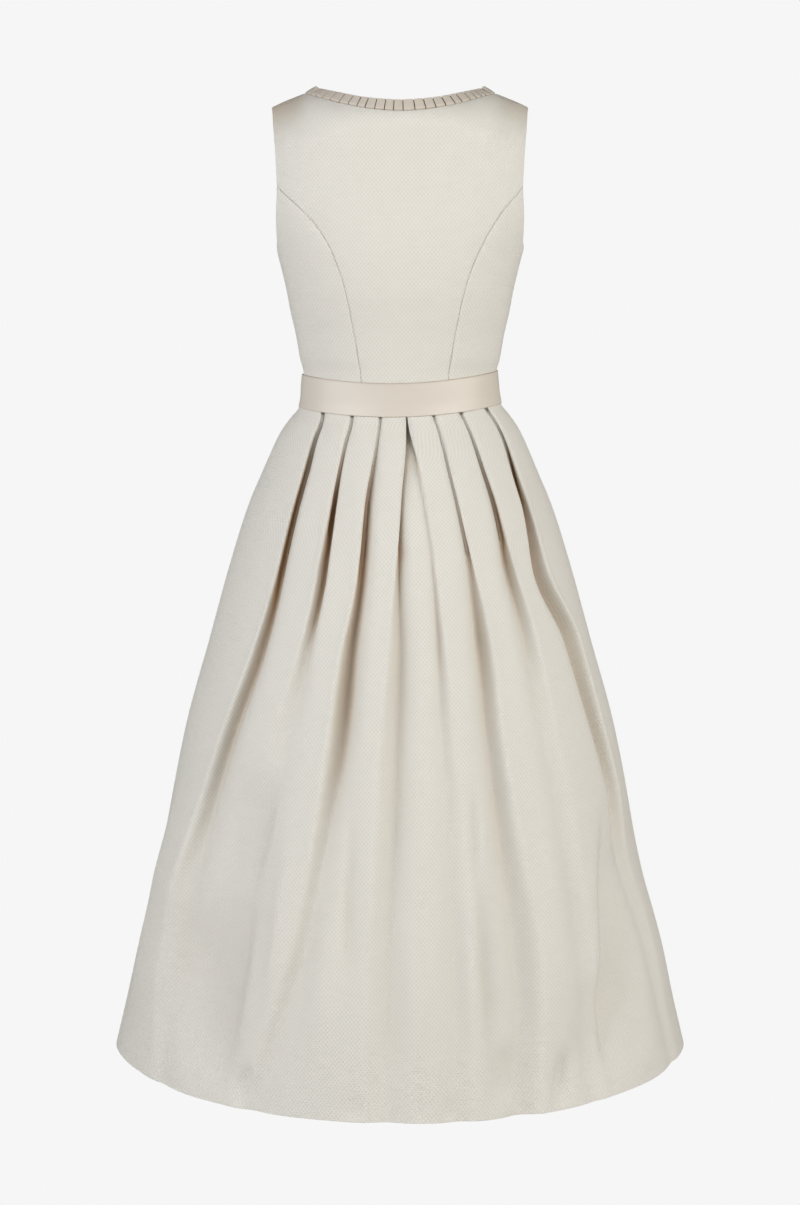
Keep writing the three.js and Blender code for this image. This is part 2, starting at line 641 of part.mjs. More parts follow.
// One ring of the skirt: its middle line, measured along itself from the centre back.
function skirtRing(z) {
  const inset = SKIRT_WALL / 2;
  const half = skirtSize.half(z) - inset;
  const behind = skirtSize.back(z) - inset;
  const before = skirtSize.front(z) - inset;
  const power = 2 / skirtSize.square(z);
  const flat = (angle) => {
    const depth = Math.cos(angle) > 0 ? behind : before;
    const across = Math.sign(Math.sin(angle)) * Math.abs(Math.sin(angle)) ** power;
    const deep = Math.sign(Math.cos(angle)) * Math.abs(Math.cos(angle)) ** power;
    return new THREE.Vector2(half * across, depth * deep);
  };
  const finest = DEGREE;
  const lengths = [0];
  for (let k = 1; k <= RING_STEPS; k += 1) {
    lengths.push(lengths[k - 1] + flat(k * finest).distanceTo(flat((k - 1) * finest)));
  }
  const lengthAt = (angle) => {
    const place = Math.min(Math.abs(angle) / finest, RING_STEPS);
    const k = Math.min(Math.floor(place), RING_STEPS - 1);
    return Math.sign(angle) * (lengths[k] + (lengths[k + 1] - lengths[k]) * (place - k));
  };
  const angleAt = (length) => {
    let k = 0;
    while (k < RING_STEPS - 1 && lengths[k + 1] < Math.abs(length)) k += 1;
    const part = (Math.abs(length) - lengths[k]) / (lengths[k + 1] - lengths[k]);
    return Math.sign(length) * (k + part) * finest;
  };
  const fade = THREE.MathUtils.clamp((z - LIFT_ENDS) / (WAIST - LIFT_ENDS), 0, 1);
  const lowered = (HEM_LIFT.starts - z) / (HEM_LIFT.starts - HEM_LIFT.ends);
  const hemShare = THREE.MathUtils.clamp(lowered, 0, 1);
  const pointAt = (length, lift) => {
    const angle = angleAt(length);
    const here = flat(angle);
    const along = flat(angle + finest).sub(flat(angle - finest)).normalize();
    const round = THREE.MathUtils.euclideanModulo(angle / DEGREE + 180, 360) - 180;
    const height = z + waistLift(angle) * fade + hemRise(round) * hemShare;
    return new THREE.Vector3(here.x - along.y * lift, here.y + along.x * lift, height);
  };
  const angleOfShare = (share) => Math.sign(share) * Math.asin(Math.abs(share) ** (1 / power));
  return { lengthAt, pointAt, angleOfShare };
}

// One of a fold's sizes at a height.
function foldSize(fold, key, z) {
  return curve(VALLEY_HEIGHTS.map((h, i) => ({ z: h, [key]: fold[key][i] })), 'z', key)(z);
}

// The points [length, lift] of one fold, in order along the cloth.
function foldPoints(fold, z, ring, turned) {
  const at = curve(FOLD_HEIGHTS.map((h, i) => ({ z: h, at: fold.at[i] })), 'z', 'at')(z);
  const angle = turned ? Math.PI - ring.angleOfShare(at) : ring.angleOfShare(at);
  const edge = ring.lengthAt(angle);
  const [opens] = VALLEY_HEIGHTS;
  const pressed = THREE.MathUtils.clamp((z - opens) / (PRESSED - opens), 0, 1);
  const depth = foldSize(fold, 'deep', z) * (1 - pressed) + 2 * LAYER_PITCH * pressed;
  const open = foldSize(fold, 'wall', z);
  const lap = Math.max(0, skirtSize.lap(z) - WALL_OPENS * open);
  const step = Math.max(LAYER_PITCH, FOLD_SLANT * depth);
  const across = [
    [-(open + lap + EDGE_ROLL.wide), 0],
    [-open, EDGE_ROLL.rise * depth],
    [(-open * 2) / 3, -step],
    [-open / 3 - lap, step - depth],
    [-lap, -depth],
    [FOLD_CLEAR, -depth],
  ];
  const placed = across.map(([q, lift]) => [edge + fold.faces * q, lift]);
  return fold.faces > 0 ? placed : placed.reverse();
}

// A strip between two folds: it climbs out of each low end over its own length of cloth. One with
// little room in the box pleat stays level.
function stripPoints(from, to, climbs, room) {
  const width = to[0] - from[0];
  const [leaving, reaching] = climbs.map((climb) => Math.max(1, Math.min(climb, width)));
  const opened = THREE.MathUtils.clamp((room - BOX_LEVEL.least) / (BOX_LEVEL.most - BOX_LEVEL.least), 0, 1);
  const inner = steps(STRIP_POINTS + 1).slice(1, -1);
  return inner.map((part) => {
    const t = (1 - Math.cos(Math.PI * part)) / 2;
    const fromLow = from[1] * Math.max(0, 1 - (t * width) / leaving) ** 2;
    const toLow = to[1] * Math.max(0, 1 - ((1 - t) * width) / reaching) ** 2;
    const level = from[1] * (1 - t) + to[1] * t;
    return [from[0] + width * t, opened * (fromLow + toLow) + (1 - opened) * level];
  });
}

// The whole middle line of a panel's ring, folds and strips, as [length, lift].
function ringLine(folds, z, ring, start, end, turned) {
  const line = [[ring.lengthAt(start), 0]];
  let climb = PLAIN_CLIMB;
  folds.forEach((fold, k) => {
    const next = foldPoints(fold, z, ring, turned);
    const room = next[0][0] - line[line.length - 1][0];
    if (k === BOXED_FOLD && !turned) {
      line.pop();
      next.shift();
    }
    const beside = foldSize(fold, 'climb', z);
    line.push(...stripPoints(line[line.length - 1], next[0], [climb, beside], room), ...next);
    climb = beside;
  });
  const finish = [ring.lengthAt(end), 0];
  const last = line[line.length - 1];
  line.push(...stripPoints(last, finish, [climb, PLAIN_CLIMB], BOX_LEVEL.most), finish);
  return line;
}

// The line moved half the cloth's wall to one side, corners mitred.
function besideLine(line, offset) {
  return line.map((here, i) => {
    const before = line[Math.max(i - 1, 0)];
    const after = line[Math.min(i + 1, line.length - 1)];
    const into = new THREE.Vector2(here[0] - before[0], here[1] - before[1]).normalize();
    const onward = new THREE.Vector2(after[0] - here[0], after[1] - here[1]).normalize();
    if (i === 0) into.copy(onward);
    if (i === line.length - 1) onward.copy(into);
    const mitre = 1 + into.dot(onward);
    const shift = into.add(onward).multiplyScalar(offset / Math.max(mitre, SHARPEST_MITRE));
    return [here[0] - shift.y, here[1] + shift.x];
  });
}

function skirtPanel(folds, start, end, turned) {
  const outer = [];
  const inner = [];
  [...RINGS].reverse().forEach((z) => {
    const ring = skirtRing(z);
    const line = ringLine(folds, z, ring, start, end, turned);
    outer.push(besideLine(line, SKIRT_WALL / 2).map(([length, lift]) => ring.pointAt(length, lift)));
    inner.push(besideLine(line, -SKIRT_WALL / 2).map(([length, lift]) => ring.pointAt(length, lift)));
  });
  return wall(outer, inner);
}

function seamAngles() {
  const turn = clothTurn(WAIST) * DEGREE;
  const gap = SEAM_GAP / 2 / SKIRT[0].half;
  return { right: -Math.PI / 2 - turn, left: Math.PI / 2 - turn, gap };
}

function skirtBack() {
  const { right, left, gap } = seamAngles();
  return skirtPanel(BACK_FOLDS, right + gap, left - gap, false);
}

function skirtFront() {
  const { right, left, gap } = seamAngles();
  return skirtPanel(FRONT_FOLDS, left + gap, right + 2 * Math.PI - gap, true);
}

// ---------------------------------------------------------------- the dress

function piece(name, geometry, finish) {
  const mesh = new THREE.Mesh(geometry, new THREE.MeshStandardMaterial(finish));
  mesh.name = name;
  return mesh;
}

const dress = new THREE.Group();
dress.add(piece('bodice_back', centreBack(), CREAM_JACQUARD));
dress.add(piece('bodice_side_back_left', sideBack(1), CREAM_JACQUARD));
dress.add(piece('bodice_side_back_right', sideBack(-1), CREAM_JACQUARD));
dress.add(piece('bodice_side_front_left', sideFront(1), CREAM_JACQUARD));
dress.add(piece('bodice_side_front_right', sideFront(-1), CREAM_JACQUARD));
dress.add(piece('bodice_front_left', front(1), CREAM_JACQUARD));
dress.add(piece('bodice_front_right', front(-1), CREAM_JACQUARD));
dress.add(piece('neck_trim', neckTrim(), CHAMPAGNE_SATIN));
dress.add(piece('waistband', waistband(), CHAMPAGNE_SATIN));
dress.add(piece('skirt_back', skirtBack(), CREAM_JACQUARD));
dress.add(piece('skirt_front', skirtFront(), CREAM_JACQUARD));

export default dress;
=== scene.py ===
"""A sleeveless dirndl dress in cream jacquard, with a pleated satin neck trim and a satin waistband."""

import math

import bpy
import numpy as np
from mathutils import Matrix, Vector
from mathutils.geometry import delaunay_2d_cdt


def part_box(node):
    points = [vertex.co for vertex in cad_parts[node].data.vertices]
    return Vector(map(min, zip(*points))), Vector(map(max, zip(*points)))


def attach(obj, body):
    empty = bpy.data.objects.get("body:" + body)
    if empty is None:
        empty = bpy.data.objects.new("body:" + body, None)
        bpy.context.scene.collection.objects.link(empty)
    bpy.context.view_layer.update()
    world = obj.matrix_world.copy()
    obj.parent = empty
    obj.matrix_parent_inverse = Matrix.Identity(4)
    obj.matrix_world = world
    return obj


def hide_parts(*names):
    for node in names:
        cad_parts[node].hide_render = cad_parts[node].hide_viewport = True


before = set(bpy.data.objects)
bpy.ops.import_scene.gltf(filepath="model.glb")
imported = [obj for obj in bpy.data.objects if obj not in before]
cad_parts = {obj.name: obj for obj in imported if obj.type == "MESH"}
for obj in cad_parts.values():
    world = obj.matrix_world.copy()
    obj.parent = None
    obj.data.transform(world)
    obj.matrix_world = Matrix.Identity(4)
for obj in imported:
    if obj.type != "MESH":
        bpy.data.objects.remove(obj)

bl_info = {
    "name": "Dirndl Dress",
    "version": (1, 0, 0),
    "blender": (4, 5, 0),
    "location": "View3D > Sidebar > Dirndl",
    "description": "Sews the cloth of a dirndl round its packed form",
    "category": "Add Mesh",
}

# Lengths in the tables are millimetres, as the cut's are, and turn to metres where a mesh is made.
# The wearer faces -Y, +X is the wearer's left and +Z is up. Angles run round the body, 0 at the
# centre back, 90 on the wearer's left. "up" is measured along the cloth over the shoulders.
MM = 0.001
DEGREE = math.pi / 180
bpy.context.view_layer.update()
SKIRT_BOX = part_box("skirt_back")

# ---------------------------------------------------------------- the cut

def table(names, *rows):
    """A table's rows, with their columns named."""
    return [dict(zip(names, row)) for row in rows]


# Millimetres between two pieces at their seam.
SEAM_GAP = 0.3
# The outer size of each ring of the bodice, and how square it is: 2 is an ellipse.
BODICE_FORM = table(
    ("z", "half", "back", "front", "square"),
    (-404, 124.3, 89.5, 96.5, 2), (-375, 124.6, 89.3, 96.7, 2), (-358, 125.1, 89.8, 97.3, 2),
    (-340, 129.6, 91.5, 100, 2.1), (-310, 134.7, 95, 105, 2.15), (-280, 141.6, 100, 111, 2.2),
    (-252, 146.8, 104, 116, 2.25), (-207, 157.7, 105.5, 119, 2.35), (-182, 165, 104.5, 116, 2.45),
    (-143, 174.5, 101, 108, 2.55), (-90, 176, 98, 100, 2.6),
)
BUST = {"apart": 80, "height": -226, "wide": 52, "tall": 66, "rise": 15}
# How roundly the cloth goes over the shoulders: the upper back stays upright between them.
SHOULDER_ROUND = table(("x", "round"), (-60, 50), (0, 45), (60, 50), (105, 72), (140, 95), (180, 95))
SHOULDER_LINE = table(
    ("x", "z"),
    (0, 1.5), (116, 0.9), (122, -0.4), (134.5, -4.9), (146.7, -9.8), (159.3, -15), (166, -19), (176, -25),
)
# The waist seam's height, how far it rises at the sides and how far it tilts to the wearer's right.
WAIST = -404
WAIST_LIFT = 11
WAIST_TILT = 2.5
# Where each princess seam meets the armhole, and its angle from the centre at heights below.
PRINCESS_TOP = -120
PRINCESS_SEAM = table(
    ("up", "angle"),
    (-404, 35), (-364, 35), (-315, 36.6), (-260, 38.8), (-205, 45.3), (-155, 56.6), (PRINCESS_TOP, 69.6),
)
# How many degrees the cloth is turned round the body.
CLOTH_TURN = table(("up", "turn"), (-404, 4.4), (-310, 3.2), (-200, 2.9), (PRINCESS_TOP, 0))
UNDERARM = -206
SHOULDER_TIP = 166
ARMHOLE_BACK = table(
    ("up", "x"),
    (-190, 158.6), (-162, 159.4), (PRINCESS_TOP, 157.8), (-85, 159.4), (-40, 162.6), (36, SHOULDER_TIP),
)
ARMHOLE_FRONT = table(
    ("up", "x"),
    (-190, 157.5), (-162, 153.5), (PRINCESS_TOP, 151), (-85, 154), (-40, 160.5), (36, SHOULDER_TIP),
)
# The neckline is drawn over shoulders of its own round, then laid on the form.
NECK = {"half": 123, "bend": 1.85, "crowd": 1.3, "back": -16.8, "front": -150, "round": 95}
BAND_FORM = table(
    ("z", "half", "back", "front"),
    (-369, 127, 91.5, 99), (-396, 128.6, 93.4, 100), (-412, 132, 97, 103),
)

# Outer size of each ring of the skirt, and how far its folds lie over each other.
SKIRT_FORM = table(
    ("z", "half", "back", "front", "square", "lap"),
    (-404.3, 128.5, 93.2, 99.4, 2, 20), (-412, 131, 95.4, 101.6, 2, 20), (-424, 142, 106, 110, 2, 19.5),
    (-441, 155, 120, 121, 2, 18), (-476, 173, 141, 137, 2, 15), (-525, 195.2, 165, 155, 2, 10),
    (-603, 220.4, 195, 180, 2, 5), (-708, 249.6, 226, 208, 2, 1), (-813, 278.8, 254, 235, 1.98, 0),
    (-919, 300.4, 280, 261, 1.96, 0), (-1026, 320.7, 305, 285, 1.94, 0), (-1133, 345.7, 328, 307, 1.92, 0),
    (-1263, 374.5, 351, 331, 1.9, 0),
)
SKIRT_TOP = -404.3
SKIRT_HEM = -1263
# Below this the rings no longer rise with the waist, and between these the hem's own rise sets in.
LIFT_ENDS = -500
HEM_LIFT = {"starts": -960, "ends": -1263}
# How far the hem rises at each angle round the body.
HEM_RISE = table(
    ("angle", "rise"),
    (-180, 0), (-130, 11), (-90, 22), (-80, 21), (-70, 16.5), (-60, 10.5), (-49, 6.5), (-40, 2.6), (-27, 0),
    (-10, -1), (25, 1.4), (39, 4.6), (48, 8), (56, 11.6), (65, 16.6), (80, 21.4), (90, 22), (130, 11),
    (180, 0),
)
# Folded layers lie this far apart, and a fold's steps are at least this part of its depth.
LAYER_PITCH = 1.55
FOLD_SLANT = 0.3
# Above this height the folds are pressed flat.
PRESSED = -415
# The climb beside a seam, and the points of each strip between two folds.
PLAIN_CLIMB = 20
STRIP_POINTS = 12
# A strip with less room than the first of these lies level, one with the second climbs fully.
BOX_LEVEL = (-4, 32)
# This fold of the back and the one before it face each other over a box pleat.
BOXED_FOLD = 4
# A valley's floor reaches this far past the fold over it.
FOLD_CLEAR = 4
# A fold laps over the cloth beside it by this much less for each millimetre of its open wall.
WALL_OPENS = 3
# Each fold's edge rolls up over this width of the cloth before it, by a part of the valley's depth.
EDGE_ROLL = {"wide": 8, "rise": 0.12}
# Each fold: which way its edge faces, where the edge runs at these heights as a part of the half
# width, how deep its valley is, how wide the wall under its edge is (0: folded over), and how far
# the cloth beside it takes to climb out of the valley again.
FOLD_HEIGHTS = [-404, -430, -520, -600, -700, -800, -900, -1050, -1150, -1263]
VALLEY_HEIGHTS = [-430, -475, -520, -560, -600, -650, -700, -760, -830, -900, -1050, -1263]
BACK_FOLDS = table(
    ("faces", "at", "deep", "wall", "climb"),
    (1,
     [-0.866, -0.862, -0.838, -0.817, -0.91, -0.922, -0.943, -0.948, -0.945, -0.945],
     [3.1, 8, 21, 22, 22, 22, 23, 22, 20, 16, 7, 4],
     [0, 0, 2, 8, 12, 15, 16, 14, 13, 14, 18, 20],
     [4, 8, 9, 11, 17, 28, 33, 33, 32, 34, 40, 40]),
    (1,
     [-0.614, -0.61, -0.635, -0.646, -0.67, -0.665, -0.687, -0.697, -0.676, -0.655],
     [3.2, 5, 7, 9, 13, 12, 11, 7, 6, 6, 5, 4],
     [0, 0, 0, 1, 4, 9, 13, 17, 20, 20, 20, 20],
     [3, 7, 15, 22, 25, 26, 27, 28, 30, 30, 30, 30]),
    (1,
     [-0.346, -0.353, -0.387, -0.42, -0.436, -0.42, -0.43, -0.455, -0.44, -0.4],
     [3.2, 3.4, 3.8, 5.2, 7.5, 13, 17, 16, 16, 17, 17, 12],
     [0, 0, 0, 0, 2, 6, 9, 12, 15, 19, 26, 30],
     [4, 9, 15, 20, 26, 30, 32, 34, 38, 46, 52, 55]),
    (1,
     [-0.073, -0.085, -0.16, -0.195, -0.208, -0.2, -0.203, -0.198, -0.195, -0.19],
     [9, 5, 4, 4, 5, 7, 10, 10, 9, 9, 9, 7],
     [0, 5, 3.5, 3, 3, 4, 6, 10, 14, 20, 25, 25],
     [10, 22, 30, 30, 28, 24, 28, 30, 30, 30, 30, 30]),
    (-1,
     [-0.053, -0.05, -0.004, 0.01, -0.001, 0.006, 0.016, 0.036, 0.042, 0.045],
     [14, 12, 12, 11, 11, 13, 16, 18, 17, 17, 14, 9],
     [0, 0, 0, 1, 4, 10, 15, 20, 24, 26, 28, 30],
     [16, 22, 26, 30, 32, 36, 38, 38, 36, 38, 45, 50]),
    (-1,
     [0.215, 0.2, 0.233, 0.238, 0.268, 0.277, 0.31, 0.368, 0.425, 0.5],
     [3.6, 7, 11, 13, 14, 17, 21, 24, 21, 15, 9, 6],
     [0, 0, 0, 0, 1, 3, 8, 12, 14, 13, 14, 16],
     [5, 12, 18, 22, 24, 27, 30, 32, 36, 40, 42, 45]),
    (-1,
     [0.504, 0.458, 0.454, 0.452, 0.48, 0.515, 0.54, 0.57, 0.59, 0.61],
     [4.6, 5.2, 12, 16, 16, 13, 9, 8, 5, 3, 2, 2],
     [0, 0, 0, 2, 5, 6, 10, 16, 24, 30, 30, 30],
     [5, 4, 6, 7, 8, 8, 12, 25, 30, 30, 30, 30]),
    (-1,
     [0.8, 0.726, 0.698, 0.703, 0.735, 0.788, 0.838, 0.866, 0.86, 0.815],
     [6.6, 9, 9.8, 10, 10.8, 14.5, 17, 18, 18, 16, 6, 4],
     [0, 0, 0, 0, 0, 1, 4, 7, 9, 10, 14, 16],
     [6, 12, 16, 19, 22, 25, 29, 35, 45, 50, 50, 50]),
)
FRONT_WALL = [0, 0, 0, 0, 3, 8, 12, 16, 18, 20, 22, 24]
FRONT_CLIMB = [16, 25, 30, 30, 32, 35, 38, 40, 42, 45, 48, 50]
FRONT_FOLDS = [{**fold, "wall": FRONT_WALL, "climb": FRONT_CLIMB} for fold in table(
    ("faces", "at", "deep"),
    (1,
     [0.86, 0.77, 0.76, 0.76, 0.77, 0.78, 0.79, 0.8, 0.805, 0.81],
     [8, 11, 13, 15, 17, 16, 16, 14, 11, 10, 9, 8]),
    (1,
     [0.6, 0.53, 0.55, 0.59, 0.61, 0.64, 0.66, 0.68, 0.69, 0.7],
     [6, 9, 11, 12, 14, 12, 11, 10, 9, 8, 8, 6]),
    (1,
     [0.32, 0.28, 0.31, 0.35, 0.37, 0.39, 0.41, 0.43, 0.44, 0.45],
     [8, 11, 14, 16, 18, 18, 18, 17, 15, 12, 10, 8]),
    (-1,
     [-0.32, -0.28, -0.3, -0.34, -0.36, -0.38, -0.4, -0.41, -0.43, -0.44],
     [8, 11, 13, 15, 17, 18, 18, 17, 16, 12, 10, 8]),
    (-1,
     [-0.6, -0.53, -0.55, -0.6, -0.62, -0.65, -0.67, -0.69, -0.7, -0.71],
     [6, 9, 11, 12, 14, 12, 11, 10, 10, 9, 8, 6]),
    (-1,
     [-0.86, -0.77, -0.76, -0.765, -0.78, -0.79, -0.8, -0.805, -0.81, -0.815],
     [8, 11, 13, 15, 17, 16, 16, 14, 11, 10, 9, 8]),
)]
# How softly the skirt's folds turn: the cloth is crisp where it was pressed and round at the hem.
FOLD_SOFTNESS = table(
    ("z", "soft"),
    (-404, 0.4), (-520, 0.5), (-600, 1.2), (-650, 2), (-700, 3.2), (-800, 4.5), (-1050, 6), (-1263, 6.5),
)
# How far a fold's painted shade is blended down the cloth and across it, and how it sets in below the waist.
SHADE_REACH = (26, 1.5)
FOLD_SHADE = table(("z", "shade"), (-404, 0.4), (-440, 0.55), (-480, 0.9), (-600, 1), (-1263, 1))

# Creases of the hanging skirt behind: x and height of their two ends, how wide they are on the
# wearer's left and right of that line, and how deep (minus: standing out). The front has them mirrored.
SKIRT_CREASES = table(
    ("top", "foot", "wide", "deep"),
    ((155, -834), (194, -1019), (48, 9), 10), ((184, -970), (232, -1256), (52, 11), 12),
    ((189, -789), (250, -1228), (36, 40), 11), ((-262, -880), (-271, -1275), (9, 46), 22),
    ((254, -863), (315, -1237), (70, 10), -15), ((-300, -952), (-332, -1215), (20, 40), -7),
    ((-101, -939), (-118, -1246), (8, 18), 8), ((-136, -1169), (-125, -1263), (16, 16), 8),
    ((-15, -996), (-24, -1235), (16, 16), -3), ((-82, -950), (-96, -1214), (9, 9), -3),
    ((83, -950), (108, -1227), (16, 16), -4), ((-182, -885), (-199, -1225), (22, 22), -4),
    ((133, -881), (171, -1197), (10, 14), -4), ((59, -853), (68, -1129), (7, 9), 5),
    ((-93, -842), (-96, -1005), (6, 6), 4), ((-210, -1185), (-196, -1263), (9, 12), 10),
    ((191, -1206), (201, -1264), (12, 8), 8), ((268, -1010), (238, -1272), (44, 36), 15),
    ((-286, -1080), (-240, -1270), (44, 34), 13), ((-316, -1190), (-293, -1228), (9, 11), 5),
    ((56, -1236), (56, -1261), (12, 12), 4), ((-29, -1233), (-24, -1260), (6, 6), 4),
    ((-56, -1234), (-64, -1262), (6, 6), 4),
)


# ---------------------------------------------------------------- settings

def linear(hex_code):
    """A colour's sRGB hex code as linear red, green, blue and alpha."""
    parts = [int(hex_code[i:i + 2], 16) / 255 for i in (1, 3, 5)]
    return [c / 12.92 if c <= 0.04045 else ((c + 0.055) / 1.055) ** 2.4 for c in parts] + [1.0]


def size(name, description, default):
    """A length property whose default is given in millimetres."""
    return bpy.props.FloatProperty(name=name, description=description, default=default * MM, unit="LENGTH")


def colour(name, description, hex_code):
    """A colour property whose default is an sRGB hex code."""
    return bpy.props.FloatVectorProperty(
        name=name, description=description, default=linear(hex_code), subtype="COLOR", size=4, min=0, max=1
    )


class DirndlCloth(bpy.types.PropertyGroup):
    """Sizes of the cream jacquard and how it is sewn."""

    bodice_wall: size("Bodice cloth", "Thickness of the bodice, cloth and backing together", 1.6)
    skirt_wall: size("Skirt cloth", "Thickness of the skirt's cloth", 0.9)
    diamond_width: size("Diamond width", "Width of one woven diamond", 5)
    diamond_height: size("Diamond height", "Height of one woven diamond", 5.8)
    hem_turn: size("Hem turn-up", "Height of the hem allowance inside the skirt", 40)
    ground: colour("Ground", "Colour of the cloth between the woven lines", "#E6E3D9")
    lattice: colour("Lattice", "Colour of the raised woven lines", "#EAE8E0")
    # Hollows and Deep folds are painted shade: colours mixed into the cloth where the folds close round it,
    # darker and warmer the deeper it lies.
    shade: colour("Hollows", "Colour of the cloth in the hollows between folds", "#D2CDC1")
    deep: colour("Deep folds", "Colour of the cloth deep in a fold, where light comes through it", "#BC9C7A")
    float_dot: colour("Dots", "Colour of the sunk dot in each diamond", "#DFDBD1")


class DirndlSatin(bpy.types.PropertyGroup):
    """Sizes and colour of the champagne satin trim and waistband."""

    trim_wall: size("Satin", "Thickness of the folded satin strip", 0.5)
    pleat_rise: size("Pleat rise", "How far a pleat's edge stands off the one beside it", 2.6)
    pleat_under: size("Pleat underlay", "How far each pleat lies under the next", 4)
    band_wall: size("Waistband", "Thickness of the waistband, folded over its backing", 1.6)
    # Hollows and Deep folds are painted shade: colours mixed into the satin between its pleats and along the
    # band's edges.
    shade: colour("Hollows", "Colour of the satin in the hollows between pleats", "#BDB2A3")
    deep: colour("Deep folds", "Colour of the satin deep between its pleats", "#8A6E55")
    satin: colour("Satin", "Colour of the satin", "#DBD3C6")


class DirndlStage(bpy.types.PropertyGroup):
    """The floor, the studio light and the camera."""

    floor_drop: size("Floor", "How far the floor lies below the hem", 500)
    distance: size("Camera distance", "From the camera to the middle of the dress", 4500)
    lens: bpy.props.FloatProperty(
        name="Lens", description="Focal length on a sensor 36 mm long", default=103.5, unit="CAMERA"
    )
    backdrop: colour("Backdrop", "Colour of the pale studio", "#F6F6F6")


# ---------------------------------------------------------------- the form

# The step in radians and in millimetres over which a slope of the form is measured.
SLOPE_STEP = {"angle": 0.002, "up": 0.2}


def curve(rows, key, column):
    """A smooth curve through one column of a table, read at any value of the key column."""
    ordered = sorted(rows, key=lambda row: row[key])
    keys = np.array([row[key] for row in ordered], float)
    values = np.array([row[column] for row in ordered], float)
    rise = np.diff(values) / np.diff(keys)
    before = np.concatenate([rise[:1], rise])
    after = np.concatenate([rise, rise[-1:]])
    same_way = before * after > 0
    slopes = np.where(same_way, 2 * before * after / np.where(same_way, before + after, 1), 0)

    def read(at):
        inside = np.clip(at, keys[0], keys[-1])
        i = np.clip(np.searchsorted(keys, inside, side="right") - 1, 0, len(keys) - 2)
        span = keys[i + 1] - keys[i]
        t = (inside - keys[i]) / span
        straight = values[i] + (values[i + 1] - values[i]) * t * t * (3 - 2 * t)
        return straight + span * t * (1 - t) * (slopes[i] * (1 - t) - slopes[i + 1] * t)

    return read


def columns(rows, key, names):
    """Curves through several columns of a table."""
    return {name: curve(rows, key, name) for name in names}


form = columns(BODICE_FORM, "z", ["half", "back", "front", "square"])
shoulder = curve(SHOULDER_LINE, "x", "z")
shoulder_round = curve(SHOULDER_ROUND, "x", "round")
princess_angle = curve(PRINCESS_SEAM, "up", "angle")
cloth_turn = curve(CLOTH_TURN, "up", "turn")
armhole_back = curve(ARMHOLE_BACK, "up", "x")
armhole_front = curve(ARMHOLE_FRONT, "up", "x")
band_size = columns(BAND_FORM, "z", ["half", "back", "front"])
skirt_size = columns(SKIRT_FORM, "z", ["half", "back", "front", "square", "lap"])
hem_rise = curve(HEM_RISE, "angle", "rise")
fold_softness = curve(FOLD_SOFTNESS, "z", "soft")
fold_shade = curve(FOLD_SHADE, "z", "shade")


def waist_lift(angle):
    """How far the waist line lies over the waist's height at an angle round the body."""
    return WAIST_LIFT * np.sin(angle) ** 2 - WAIST_TILT * np.sin(angle)


def ridge_up(x):
    """How far up along the cloth the shoulder seam lies."""
    return shoulder(np.abs(x)) + shoulder_round(np.abs(x)) * (math.pi / 2 - 1)


def height_at(x, up, round_by):
    """The height of a place along the cloth, where the cloth goes over a round shoulder."""
    start = shoulder(np.abs(x)) - round_by
    return np.where(up < start, up, start + round_by * np.sin(np.maximum(0, up - start) / round_by))


def up_at(x, height, round_by):
    """How far up along the cloth a height is reached."""
    start = shoulder(np.abs(x)) - round_by
    part = np.clip((height - start) / round_by, 0, 1)
    return np.where(height < start, height, start + round_by * np.arcsin(part))


def eased(part):
    """A part of the way from 0 to 1, leaving and arriving gently."""
    part = np.clip(part, 0, 1)
    return part * part * (3 - 2 * part)


def unit(vectors):
    return vectors / np.maximum(np.linalg.norm(vectors, axis=-1, keepdims=True), 1e-12)


def bodice_point(angle, up):
    """The form's surface at an angle round the body and a height along the cloth."""
    angle, up = np.broadcast_arrays(np.asarray(angle, float), np.asarray(up, float))
    sine, cosine = np.sin(angle), np.cos(angle)
    depth = np.where(cosine > 0, form["back"](up), form["front"](up))
    square = form["square"](up)
    flat = np.abs(sine / form["half"](up)) ** square + np.abs(cosine / depth) ** square
    reach = flat ** (-1 / square)
    beside = (np.abs(reach * sine) - BUST["apart"]) / BUST["wide"]
    above = (up - BUST["height"]) / BUST["tall"]
    bust = BUST["rise"] * np.exp(-beside**2 - above**2) * np.maximum(0, -cosine)
    x = (reach + bust) * sine
    round_by = shoulder_round(np.abs(x))
    over = np.maximum(0, up - shoulder(np.abs(x)) + round_by) / round_by
    return np.stack([x, (reach + bust) * cosine * np.cos(over), height_at(x, up, round_by)], axis=-1)


def step_round(angle, up):
    """From one slope step before a place to one after it, round the body."""
    return bodice_point(angle + SLOPE_STEP["angle"], up) - bodice_point(angle - SLOPE_STEP["angle"], up)


def bodice_normal(angle, up):
    rising = bodice_point(angle, up + SLOPE_STEP["up"]) - bodice_point(angle, up - SLOPE_STEP["up"])
    return unit(np.cross(rising, step_round(angle, up)))


def metric(angle, up):
    """Millimetres of cloth for each radian round the body."""
    return np.linalg.norm(step_round(angle, up), axis=-1) / (2 * SLOPE_STEP["angle"])


def on_form(line):
    """The places on the form of a line's points [angle, up]."""
    return bodice_point(*line.T)


def run_along(points):
    """How far along its line each point lies."""
    return np.concatenate([[0], np.cumsum(np.linalg.norm(np.diff(points, axis=0), axis=1))])


def read_line(at, keys, line):
    """Each column of a line, read at other places along it."""
    return np.stack([np.interp(at, keys, column) for column in line.T], axis=1)


def side_of(line):
    """The outward direction, square to a line [length, lift] at each of its points."""
    tangent = unit(np.gradient(line, axis=0))
    return np.stack([-tangent[:, 1], tangent[:, 0]], axis=1)


